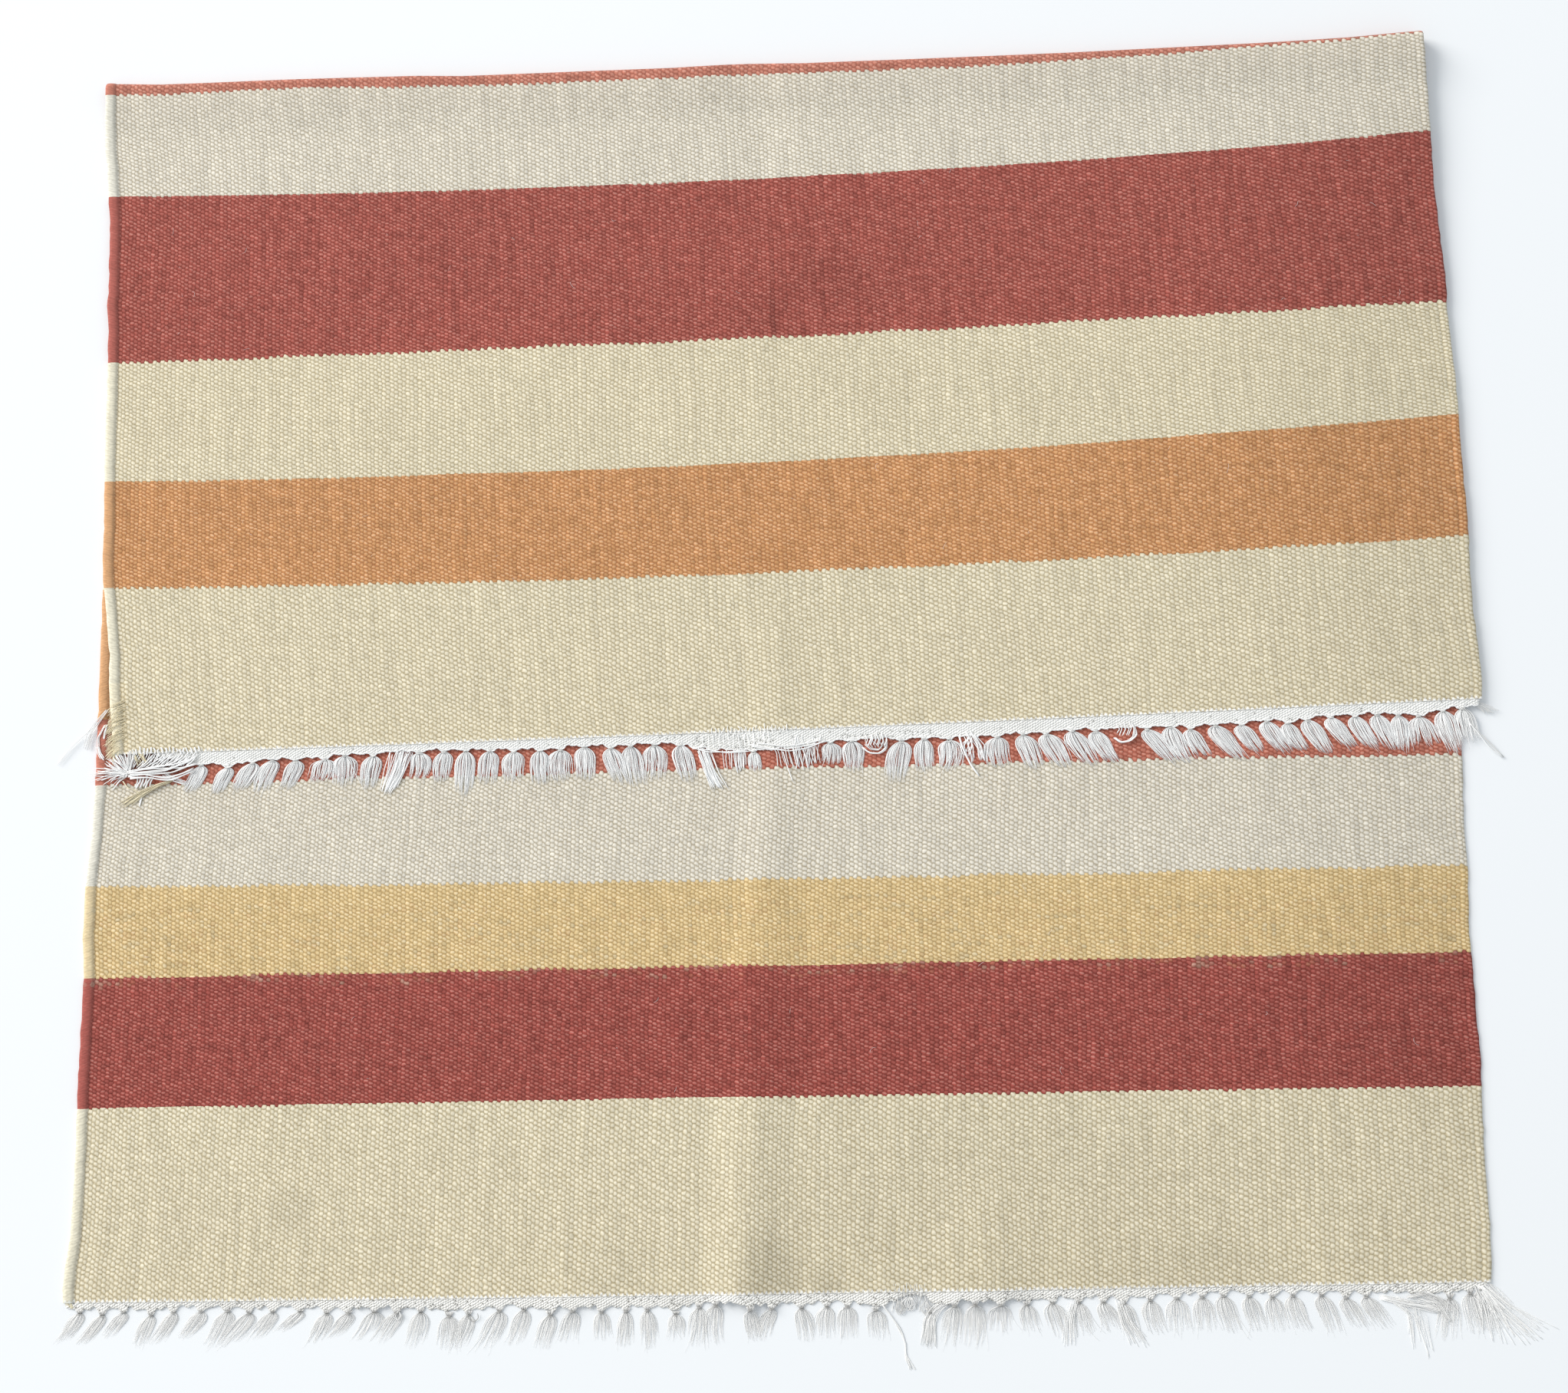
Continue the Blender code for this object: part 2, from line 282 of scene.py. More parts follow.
def lay_cloth():
    """The middle of the cloth's thickness as rows of points, and what each point was woven as.

    Returns places (rows, columns, 3), the bead count and warp count there, the distances to
    the left and right edges, and how far each row has turned over, from 0 to 1.
    """
    start = TURN_LINE._replace(beads=TURN_LINE.beads - TURN_BEADS / 2)
    end = TURN_LINE._replace(beads=TURN_LINE.beads + TURN_BEADS / 2)
    lower = rows_between((*LOWER_LAYER, start))
    turn = [mix(start, end, step / TURN_ROWS) for step in range(1, TURN_ROWS)]
    upper = rows_between((end, *UPPER_LAYER))
    lower.insert(1, mix(lower[0], lower[1], END_ROUNDING / ROW_STEP))
    upper.insert(-1, mix(upper[-1], upper[-2], END_ROUNDING / ROW_STEP))
    lines = np.array([*lower, *turn, *upper])
    turned = np.r_[np.zeros(len(lower)), np.arange(1, TURN_ROWS) / TURN_ROWS, np.ones(len(upper))]

    edge = np.array(EDGE_COLUMNS)
    inner = np.linspace(edge[-1], RUG_WIDTH - edge[-1], INNER_COLUMNS + 2)[1:-1]
    share = np.r_[edge, inner, RUG_WIDTH - edge[::-1]] / RUG_WIDTH
    share = np.repeat(share[None], len(lines), 0)
    rows = Line(*(column[:, None] for column in lines.T))
    width = rows.right_x - rows.left_x
    x, y = on_line(rows, share)
    beads = rows.beads + rows.drift * read_table(FOLD_DRIFT, share)
    from_left, from_right = share * width, (1 - share) * width

    # The side edges and the fold are not straight
    length = np.cumsum(np.r_[0, np.hypot(*np.diff(lines[:, :2], axis=0).T)])[:, None]
    edges = (from_left, LEFT_EDGE, -0.001, 3), (from_right, RIGHT_EDGE, 0.001, 4)
    for distance, table, outwards, seed in edges:
        pull = read_table(table, rows.beads) * outwards
        wave = uneven(length, seed, *EDGE_WAVES)
        x = x + pull * np.exp(-distance / PULL_FADE) + wave * np.exp(-distance / WAVE_FADE)
    from_turn = np.maximum(on_line(TURN_LINE, share)[1] - y, 0)
    dip = read_table(FOLD_DIPS, share) * 0.001
    y = y - dip * np.clip(1 - from_turn / FOLD_DIP_FADE, 0, 1) ** 1.5

    # The turn is round, from the lower layer up to the upper one
    angle = np.pi * turned[:, None]
    low, high = (CLOTH_THICK / 2 + lift(x, y) for lift in (lower_lift, upper_lift))
    z = low + (high - low) * (1 - np.cos(angle)) / 2
    y = y + FOLD_RADIUS * np.sin(angle)
    return np.stack([x, y, z], -1), beads, warp_count(share), from_left, from_right, turned


def edge_profile(from_left, from_right):
    """Half the cloth's thickness on the side that shows, and on the side it lies on."""
    nearest = np.minimum(from_left, from_right)
    shows, lies = (
        CLOTH_THICK / 2 * np.sqrt(1 - (1 - np.clip(nearest / rounding, RIM_SHARE, 1)) ** 2)
        for rounding in (SHOWN_ROUNDING, LYING_ROUNDING)
    )
    for distance, cord in ((from_left, LEFT_CORD), (from_right, RIGHT_CORD)):
        inside = np.clip(distance / cord.width, 0, 1)
        shows = shows + cord.rise * np.sin(np.pi * inside) ** CORD_FULLNESS
        shows = shows - cord.groove * bump(distance - cord.width - GROOVE_ASIDE, GROOVE_WIDTH)
    return shows, lies


def make_piece(name, points, faces, material):
    """A mesh object in the frame, from points in the rug's own measure."""
    mesh = bpy.data.meshes.new(name)
    mesh.from_pydata((np.asarray(points) + to_frame).tolist(), [], faces)
    mesh.materials.append(material)
    mesh.shade_smooth()
    mesh.update()
    piece = bpy.data.objects.new(name, mesh)
    bpy.context.scene.collection.objects.link(piece)
    return piece


def keep_count(piece, name, *values):
    """Keep three values at each point of a piece, for its finish to read."""
    points = len(piece.data.vertices)
    values = [np.broadcast_to(value, values[-1].shape).reshape(points) for value in values]
    attribute = piece.data.attributes.new(name, "FLOAT_VECTOR", "POINT")
    attribute.data.foreach_set("vector", np.stack(values, -1).astype(np.float32).ravel())


def wrap_sheet(rows, columns):
    """Faces of a closed sheet whose two sides are grids of the same size, one after the other.

    The sides share no points: they are joined round all four edges.
    """
    index = np.arange(2 * rows * columns).reshape(2, rows, columns)

    def quads(a, b, c, d):
        """Faces whose corners are the points of four grids."""
        return np.stack([a, b, c, d], -1).reshape(-1, 4)

    top, base = index
    return np.concatenate([
        quads(top[:-1, :-1], top[:-1, 1:], top[1:, 1:], top[1:, :-1]),
        quads(base[:-1, :-1], base[1:, :-1], base[1:, 1:], base[:-1, 1:]),
        quads(top[0, 1:], top[0, :-1], base[0, :-1], base[0, 1:]),
        quads(top[-1, :-1], top[-1, 1:], base[-1, 1:], base[-1, :-1]),
        quads(top[:-1, 0], top[1:, 0], base[1:, 0], base[:-1, 0]),
        quads(top[1:, -1], top[:-1, -1], base[:-1, -1], base[1:, -1]),
    ]).tolist()


def keep_map(piece, flat):
    """Keep where each corner of a piece's faces lies when the piece is mapped flat."""
    layer = piece.data.uv_layers.new(name="OFBake")
    layer.data.foreach_set("uv", flat.astype(np.float32).ravel())


FLAT_MARGIN = 0.005
FLAT_SPAN = 0.975
STRIP_WIDTH = 0.004


def lay_flat(piece, rows, columns):
    """Map a wrapped sheet flat: its two sides next to each other, its edges in narrow strips."""
    corners = np.empty(len(piece.data.loops), dtype=np.int32)
    piece.data.loops.foreach_get("vertex_index", corners)
    side, row, column = np.unravel_index(corners, (2, rows, columns))
    u, v = (FLAT_MARGIN + FLAT_SPAN * part for part in (column / (columns - 1), row / (rows - 1)))
    counts = 8 * (rows - 1) * (columns - 1), *[4 * (columns - 1)] * 2, *[4 * (rows - 1)] * 2
    part = np.repeat(range(5), counts)
    # The sides take a half each; the edges' strips lie along the right and the far border
    strip = STRIP_WIDTH * side
    flat_u = np.choose(part, [u * 0.49 + 0.5 * side, u, u, 0.486 + strip, 0.993 + strip])
    flat_v = np.choose(part, [v, 0.984 + strip, 0.992 + strip, v, v])
    keep_map(piece, np.stack([flat_u, flat_v], -1))


# The stripes in the order they are woven, each from its first weft bead. Colours are the
# dyed wool's own, linear, in plain light.
Stripe = namedtuple("Stripe", "first_bead wool")
WOOL = {
    "cotton": (0.940, 0.925, 0.890),
    "cream": (0.733, 0.659, 0.492),
    "beige": (0.722, 0.672, 0.580),
    "maroon": (0.405, 0.097, 0.075),
    "madder": (0.380, 0.082, 0.065),
    "orange": (0.615, 0.309, 0.125),
    "yellow": (0.718, 0.538, 0.272),
    "coral": (0.520, 0.170, 0.115),
}
STRIPES = rows_of(Stripe, (
    (-9, "cream"), (35, "madder"), (65, "yellow"), (84, "beige"),
    (107, "coral"), (122, "orange"), (152, "cream"), (186, "yellow"),
    (206, "maroon"), (236, "cream"), (257, "coral"), (275, "beige"),
    (299, "maroon"), (338, "cream"), (366, "orange"), (392, "cream"),
))
LAST_BEAD = 425
FOLD_BEAD = 275
COTTON_TEETH = 0.38

# Darker spots, some stains and some painted shade, each by its place and half its size: metres
# from the left, and beads
StainAndShade = namedtuple("StainAndShade", "from_left row half_width half_length depth")
STAINS_AND_SHADE = rows_of(StainAndShade, (
    # Painted shadow under the bare warps by the unravelled corner; a darker spot under the far
    # fringe
    (0.066, 111.6, 0.042, 3.4, 0.80), (0.735, 109.5, 0.060, 2.0, 0.25),
    # On the crease's right flank by the near end: partly a stain, partly painted shade
    (0.690, 1, 0.040, 13, 0.17), (0.745, 1, 0.022, 6, 0.14),
    # A faint grey stain; a broad darkening right of the middle by the near end
    (0.215, 16, 0.030, 5, 0.08), (0.930, 14, 0.330, 30, 0.06),
    # Two faint darker spots by the near end
    (1.100, 3, 0.120, 7, 0.06), (0.530, 5, 0.060, 8, 0.05),
    # Painted shadow in a small crease of the upper maroon, and painted shade to the right of it
    (0.695, 332, 0.008, 9, 0.26), (0.750, 325, 0.065, 10, 0.10),
))


class Thread:
    """A value or colour that runs through a finish. Sums written on it add Math nodes."""

    def __init__(self, finish, socket):
        self.finish, self.socket = finish, socket

    def sum(self, operation, *others):
        """What a Math node makes of this value and the others."""
        inputs = dict(enumerate((self, *others)))
        return self.finish.node("ShaderNodeMath", inputs, operation=operation)

    def __rsub__(self, other):
        return self * -1 + other

    __add__ = __radd__ = partialmethod(sum, "ADD")
    __mul__ = __rmul__ = partialmethod(sum, "MULTIPLY")
    __sub__ = partialmethod(sum, "SUBTRACT")
    __truediv__ = partialmethod(sum, "DIVIDE")
    __pow__ = partialmethod(sum, "POWER")
    __gt__ = partialmethod(sum, "GREATER_THAN")
    __lt__ = partialmethod(sum, "LESS_THAN")
    floor = partialmethod(sum, "FLOOR")
    nearest_whole = partialmethod(sum, "ROUND")
    absolute = partialmethod(sum, "ABSOLUTE")
    sine = partialmethod(sum, "SINE")
    wrapped = partialmethod(sum, "FLOORED_MODULO")
    lesser = partialmethod(sum, "MINIMUM")

    def ramp(self, low, high):
        """0 up to low, 1 from high, and smooth between."""
        inputs = {"Value": self, "From Min": low, "From Max": high}
        return self.finish.node("ShaderNodeMapRange", inputs, interpolation_type="SMOOTHSTEP")

    def fade(self, low, high):
        """1 up to low, 0 from high, and smooth between."""
        return 1 - self.ramp(low, high)


# How fast a bead falls away towards its sides and towards its ends
BEAD_SIDES = 2.3
BEAD_ENDS = 3.8


class Finish:
    """A cloth material, built one node at a time."""

    def __init__(self, name, roughness, sheen):
        self.material = bpy.data.materials.new(name)
        self.material.use_nodes = True
        self.tree = self.material.node_tree
        self.shader = self.tree.nodes["Principled BSDF"]
        values = {"Roughness": roughness, "Specular IOR Level": 0.25,
                  "Sheen Weight": sheen, "Sheen Roughness": 0.5}
        for name, value in values.items():
            self.shader.inputs[name].default_value = value

    def node(self, kind, inputs, output=0, **settings):
        """Add a node: its settings first, then a value or a Thread for each named input."""
        made = self.tree.nodes.new(kind)
        for setting, value in settings.items():
            setattr(made, setting, value)
        for name, value in inputs.items():
            if isinstance(value, Thread):
                self.tree.links.new(value.socket, made.inputs[name])
            else:
                made.inputs[name].default_value = value
        return Thread(self, made.outputs[output])

    def show(self, name, thread):
        """Lead a colour or value to one of the shader's own inputs."""
        self.tree.links.new(thread.socket, self.shader.inputs[name])

    def blend(self, share, first, second, how="MIX"):
        """Mix two colours; sockets 6 and 7 are a Mix node's colours."""
        first, second = (
            (*colour, 1) if isinstance(colour, tuple) else colour for colour in (first, second)
        )
        inputs = {0: share, 6: first, 7: second}
        return self.node("ShaderNodeMix", inputs, 2, data_type="RGBA", blend_type=how)

    def show_colour(self, colour, shade):
        """Lead a colour to the shader, made lighter or darker by a shade."""
        grey = self.vector(shade, shade, shade)
        self.show("Base Color", self.blend(1.0, colour, grey, "MULTIPLY"))

    def vector(self, x, y, z=0.0):
        """Three values as one place."""
        return self.node("ShaderNodeCombineXYZ", {0: x, 1: y, 2: z})

    def split(self, vector):
        """The three values of a vector."""
        return [self.node("ShaderNodeSeparateXYZ", {0: vector}, axis) for axis in range(3)]

    def noise(self, place, scale, detail=2.0, roughness=0.5):
        """A smooth noise from 0 to 1."""
        inputs = {"Vector": place, "Scale": scale, "Detail": detail, "Roughness": roughness}
        return self.node("ShaderNodeTexNoise", inputs)

    def noises(self, place, scale, detail):
        """Three noises in one, each round nought."""
        inputs = {"Vector": place, "Scale": scale, "Detail": detail}
        return [part - 0.5 for part in self.split(self.node("ShaderNodeTexNoise", inputs, 1))]

    def count(self, name):
        """The three values that keep_count keeps at each point."""
        return self.split(self.node("ShaderNodeAttribute", {}, "Vector", attribute_name=name))

    def chance(self, place):
        """A number from 0 to 1 drawn afresh for every whole place."""
        return self.node("ShaderNodeTexWhiteNoise", {"Vector": place}, noise_dimensions="3D")

    def beads(self, across, along, lean, face):
        """Split a weave into its beads, in two sets of columns that are half a bead apart.

        Each place belongs to the bead whose middle is nearest. Returns how far off that is,
        where it is across and along the bead, the bead's column and row, and a number that
        the bead draws for itself.
        """
        side_a = (across + 0.5).wrapped(2) - 1
        side_b = (across - 0.5).wrapped(2) - 1
        along_a = along + side_a * lean
        along_b = along + side_b * lean + 0.5
        end_a = along_a.wrapped(1) - 0.5
        end_b = along_b.wrapped(1) - 0.5
        reach_a = side_a * side_a * BEAD_SIDES + end_a * end_a * BEAD_ENDS
        reach_b = side_b * side_b * BEAD_SIDES + end_b * end_b * BEAD_ENDS
        in_b = reach_b < reach_a

        def of_nearest(a, b):
            return a * (1 - in_b) + b * in_b

        column = of_nearest(across - side_a, across - side_b)
        weft = of_nearest(along_a.floor() + 0.5, along_b.floor())
        place = self.vector((column * 2).nearest_whole(), (weft * 2).nearest_whole(), face)
        side = of_nearest(side_a, side_b)
        end = of_nearest(end_a, end_b)
        return reach_a.lesser(reach_b), side, end, column, weft, self.chance(place)

    def bumps(self, height, distance):
        """Let the surface seem to rise by a distance where a height is 1."""
        inputs = {"Height": height, "Distance": distance, "Strength": 1.0}
        self.show("Normal", self.node("ShaderNodeBump", inputs))


# Beads to a counted row: the wefts are beaten a little closer than they are counted. Then how
# far apart warps and counted rows are, and how a bead leans.
PICKED = 1.045
WARP_STEP = 0.0043
WEFT_STEP = 0.0046
BEAD_LEAN = 0.21
# How high the weaves stand out, in bump alone
WOOL_RELIEF = 0.00045
COTTON_RELIEF = 0.0005
# Colours that show in places over the dyed ones, linear too. The gap colour is painted shade
# between beads, and the crown colour a painted highlight.
HEATHER_BROWN = (0.56, 0.30, 0.14)
HEATHER_GREY = (0.52, 0.47, 0.34)
UNSPUN_TAN = (0.80, 0.69, 0.47)
GAP_SHADE_BROWN = (0.33, 0.27, 0.17)
CROWN_HIGHLIGHT = (1.0, 0.93, 0.80)
RUBBED_WOOL = (0.62, 0.50, 0.40)
HANDLED_GREY = (0.66, 0.66, 0.58)
# The left cord: where it meets the flat weave, the groove beside it, and the bead from which
# it has come open
CORD_MEETS = (0.0098, 0.0122)
CORD_GROOVE = 0.0112
OPENED_BEAD = 411


def dye(wool, row, weft, column, tooth, in_cord):
    """The colour of every bead, by the row that the whole bead belongs to."""
    dyed = row + (weft / PICKED - row) * (0.70 - in_cord * 0.70)
    colour = WOOL["cotton"]
    for stripe in STRIPES:
        colour = wool.blend(dyed > stripe.first_bead - 0.01, colour, WOOL[stripe.wool])

    # The first and the last weft is the heading's cotton, which shows as small teeth
    cotton = (row + tooth < COTTON_TEETH) + (row - tooth > LAST_BEAD - COTTON_TEETH)
    colour = wool.blend(cotton, colour, WOOL["cotton"])

    # The yellow is a heathered yarn, with brown and grey lengths in it
    heather = wool.noise(wool.vector(column * 0.13, weft * 1.3, 4.0), 1.0, 2)
    in_yellow = sum(
        (weft > stripe.first_bead) * (weft < following.first_bead)
        for stripe, following in pairwise(STRIPES) if stripe.wool == "yellow"
    )
    colour = wool.blend(heather.ramp(0.54, 0.70) * in_yellow * 0.22, colour, HEATHER_BROWN)
    return wool.blend(heather.ramp(0.44, 0.32) * in_yellow * 0.30, colour, HEATHER_GREY)


def soil_and_shade(from_left, from_right, row, depth):
    """How much the wool is darkened: painted shade along the right side, and soft spots."""
    # Painted shade: darker towards the right side, most on deep colours
    soiling_and_shade = from_right.fade(0.03, 0.30) * (0.035 + depth * 0.080)
    for dark_spot in STAINS_AND_SHADE:
        aside = (from_left - dark_spot.from_left) / dark_spot.half_width
        ahead = (row - dark_spot.row) / dark_spot.half_length
        soiling_and_shade = soiling_and_shade + (aside * aside + ahead * ahead).fade(0, 1) * dark_spot.depth
    return soiling_and_shade


def woven_wool():
    """Wool beads in staggered columns over the warps, dyed by the stripe they are woven in."""
    wool = Finish("woven_wool", roughness=0.92, sheen=0.10)
    warp, row, face = wool.count("woven")
    from_left, from_right, _ = wool.count("edge")
    flat = wool.vector(warp * WARP_STEP, row * WEFT_STEP, face)

    # Columns drift a little, rows wander up and down, and every bead leans with the yarn's
    # twist, the other way on the face that is turned over
    drift = wool.noise(flat, 7, 2) - 0.5
    wander = wool.noise(flat, 11, 1) - 0.5
    shake_x, shake_y, shake = wool.noises(flat, 170, 1)
    pull_x, pull_y, _ = wool.noises(flat, 48, 2)
    across = warp + drift * 1.6 + pull_x * 0.6 + shake_x * 0.68
    along = row * PICKED + wander * 1.3 + pull_y * 0.7 + shake_y * 0.66
    lean = BEAD_LEAN - face * (2 * BEAD_LEAN)
    reach, side, end, column, weft, own = wool.beads(across, along, lean, face)
    side_squared = side * side

    left_cord = (from_left + shake_x * 0.002).fade(*CORD_MEETS)
    tooth = (warp * 2 * math.pi).sine() * 0.24 + shake_y * 0.7
    colour = dye(wool, row, weft, column, tooth, left_cord > 0.5)
    # Its green tells how deep the dye is, from about 0.5 for cream to 1.1 for maroon
    paleness = wool.node("ShaderNodeSeparateColor", {0: colour}, 1)
    depth = 1.15 - paleness

    # Yarn is never level: lengths of it, single beads, worn patches and ribs of warp
    length = wool.noise(wool.vector(column * 0.10, weft * 1.7, face), 1.0, 2) - 0.5
    patch = wool.noise(flat, 5.5, 3) - 0.5
    clump = wool.noise(flat, 105, 4, 0.75) - 0.5
    rib = wool.noise(wool.vector(column * 0.9, weft * 0.05, 7.0), 1.0, 1) - 0.5
    uneven_dye = (own - 0.5) * 0.22 + length * 0.38 + patch * 0.12 + clump * 1.05 + rib * 0.30
    light = 1.105 - depth * 0.065 + uneven_dye * (depth * 1.15 - 0.17) + rib * 0.22
    light = light * (1 - soil_and_shade(from_left, from_right, row, depth))

    # By the unravelled corner the cord has opened into tan, unspun wool
    opened = (row > OPENED_BEAD) * from_left.fade(0.012, 0.019) * 0.8
    colour = wool.blend(opened, colour, UNSPUN_TAN)

    # Painted shade: light that falls between beads comes back stained by them, so the gaps are
    # deep and strong. Each bead casts a short slanting shade on the next one towards the near
    # end, and shade lies in the furrow between two columns.
    gap = reach.ramp(0.05, 1.0)
    away = end * (1 - face * 2)
    own_cast = 0.30 + (own * 7.3).wrapped(1) * 1.2
    cast = (0 - away).ramp(0.14, 0.42) * (1 - side_squared * 0.95) * own_cast
    furrow = side_squared.ramp(0.06, 0.30)
    strength = gap * 0.46 + furrow * 0.24 + cast * 0.36
    strong = wool.blend(strength, colour, colour, "MULTIPLY")
    shade_browning = (cast * 0.30 + gap * 0.46 + furrow * 0.16) * paleness
    strong = wool.blend(shade_browning, strong, GAP_SHADE_BROWN)

    # Painted highlight: the crowns of the beads are lighter, most on pale wool and a little towards
    # the far end. The fold is worn by rubbing.
    crest = away - 0.12
    crown = (side_squared * 2.0 + crest * crest * 14).fade(0.0, 0.8)
    crown = crown * (0.12 + own * 0.60) * (1.5 - depth)
    highlighted = wool.blend(crown, strong, wool.blend(0.42, colour, CROWN_HIGHLIGHT))
    rubbed = (row - FOLD_BEAD).absolute().fade(3, 9) * 0.07
    highlighted = wool.blend(rubbed, highlighted, RUBBED_WOOL)

    # The left cord: the weft wraps the outer warps, so fine slanting wraps lie across it
    hatch = row * 11.0 - from_left * 700 + shake * 9 + wander * 9
    wraps = hatch.sine() * 0.30 + (hatch * 0.43 + shake_x * 11).sine() * 0.25 + 0.5
    # Painted shade: the cord darkens from its outer edge towards its inner side, and more in the
    # groove beside it
    rounded = from_left.ramp(0.002, 0.011)
    beside = (from_left - CORD_GROOVE).absolute()
    groove = beside.fade(0.0004, 0.0040) * (0.14 + wraps * 0.16)
    cord_shade = 1.02 - rounded * 0.20 + wraps * 0.24 + clump * 0.60
    cord_shade = cord_shade * (1.03 - depth * 0.10)
    pale = wool.blend(paleness ** 2 * 0.85 + 0.03, colour, HANDLED_GREY)
    shade = (light * (1 - left_cord) + cord_shade * left_cord) * (1 - groove)
    wool.show_colour(wool.blend(left_cord * 0.85, highlighted, pale), shade)
    height = (1 - reach) * (1 - left_cord) + (wraps * 0.25 + 0.4) * left_cord
    wool.bumps(height + shake * 0.25, WOOL_RELIEF)
    return wool.material


def make_cloth():
    """The whole folded sheet: a side that shows and a side that it lies on, joined all round."""
    places, beads, warps, from_left, from_right, turned = lay_cloth()
    along, over = np.gradient(places, axis=0), np.gradient(places, axis=1)
    normal = np.cross(over, along)
    normal /= np.linalg.norm(normal, axis=-1, keepdims=True)
    shows, lies = edge_profile(from_left, from_right)
    outer = ((1 - np.cos(np.pi * turned)) / 2)[:, None]
    inside = places + normal * (shows * (1 - outer) + lies * outer)[..., None]
    outside = places - normal * (lies * (1 - outer) + shows * outer)[..., None]
    rows, columns = beads.shape

    points = np.stack([inside, outside]).reshape(-1, 3)
    piece = make_piece("kilim", points, wrap_sheet(rows, columns), woven_wool())
    face = np.stack([np.zeros_like(beads), np.ones_like(beads)])
    keep_count(piece, "woven", warps, beads, face)
    keep_count(piece, "edge", from_left, from_right, face)
    lay_flat(piece, rows, columns)
    return piece


cloth_low, cloth_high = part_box("kilim_cloth")
to_frame = np.array([cloth_low[0] - FOLD.left_x, cloth_high[1] - FOLD.right_y, 0.0])
kilim = make_cloth()
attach(kilim, "root")
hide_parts("kilim_cloth")


# ---------------------------------------------------------------------------------------
# The headings. A band of plain weave at each end, of the rug's own undyed cotton: bright at
# the far end, which lies on the cloth, and greyer at the near one. It keeps the last wefts in.

HEADING_THICK = 0.0024
HEADING_START = -0.0012
HEADING_ROW = 0.0026
HEADING_COLUMNS = 560
HEADING_ROWS = 7
HEADING_DROOP = 0.0014
DROOP_LENGTH = 0.010
NEAR_HEM_HEIGHT = 0.0008
HEADING_INSET = 0.0010
HEADING_TAPER = 0.55
HEM_SHORT = 0.0004
LEAST_BAND = 0.0006
HEM_ROUNDS_FROM = 0.72
HEM_ROUNDING = 0.30
OPENS_FROM = 0.003
OPENS_OVER = 0.004
HEADING_LEAN = 0.36

# Tassels, knotted from the warp ends, in millimetres: across the rug and down from the
# cloth's end to the knot, then to the tip, and half the width of the fan and of the tip.
Tassel = namedtuple("Tassel", "x drop tip_x reach fan tip")
FAR_TASSELS = rows_of(Tassel, (
    (-591, 14, -604, 40, 9, 7), (-564, 16.5, -575, 42, 9, 6), (-539, 13, -553, 40, 11, 8),
    (-519, 11, -531, 42, 11, 8), (-495, 12, -505, 40, 10, 7), (-466, 12, -471, 34, 13, 11),
    (-446, 9, -447, 39, 13, 11), (-417, 10, -421, 42, 11, 7), (-370, 8.5, -371, 34, 11, 10),
    (-345, 8.5, -348, 38, 10, 8), (-323, 9, -325, 51, 11, 8), (-299, 9.5, -301, 42, 11, 10),
    (-274, 11, -275, 40, 11, 10), (-248, 11, -247, 44, 10, 8), (-227, 11, -226, 42, 12, 10),
    (-203, 9, -201, 42, 11, 9), (-176, 11, -163, 47, 11, 10), (-156, 10, -149, 50, 11, 9),
    (-132, 10, -132, 44, 12, 12), (-105, 11, -97, 47, 11, 9), (-31, 21, -29, 40, 6, 7),
    (47, 15, 48, 36, 10, 10), (69, 14, 71, 44, 12, 8), (119, 16, 113, 57, 13, 10),
    (142, 15, 143, 47, 10, 9), (168, 17, 167, 47, 13, 11), (217, 16, 219, 46, 12, 12),
    (243, 15, 255, 49, 12, 9), (267, 15, 285, 49, 13, 9), (293, 13.5, 313, 48, 13, 9),
    (317, 14.5, 335, 46, 11, 7), (369, 15, 395, 49, 12, 8), (393, 13.5, 409, 50, 12, 8),
    (413, 17, 428, 44, 10, 9), (439, 14, 465, 50, 12, 7), (465, 15, 482, 42, 11, 8),
    (491, 12.5, 511, 44, 11, 8), (512, 15.5, 527, 43, 10, 8), (533, 13, 552, 47, 12, 8),
    (557, 11.5, 577, 42, 11, 7), (581, 11.5, 599, 44, 11, 8), (604, 11, 619, 46, 11, 8),
    (625, 13, 629, 47, 10, 9), (646, 15.5, 653, 44, 12, 17), (671, 10.5, 683, 52, 12, 8),
    (691, 9, 699, 44, 11, 10),
))
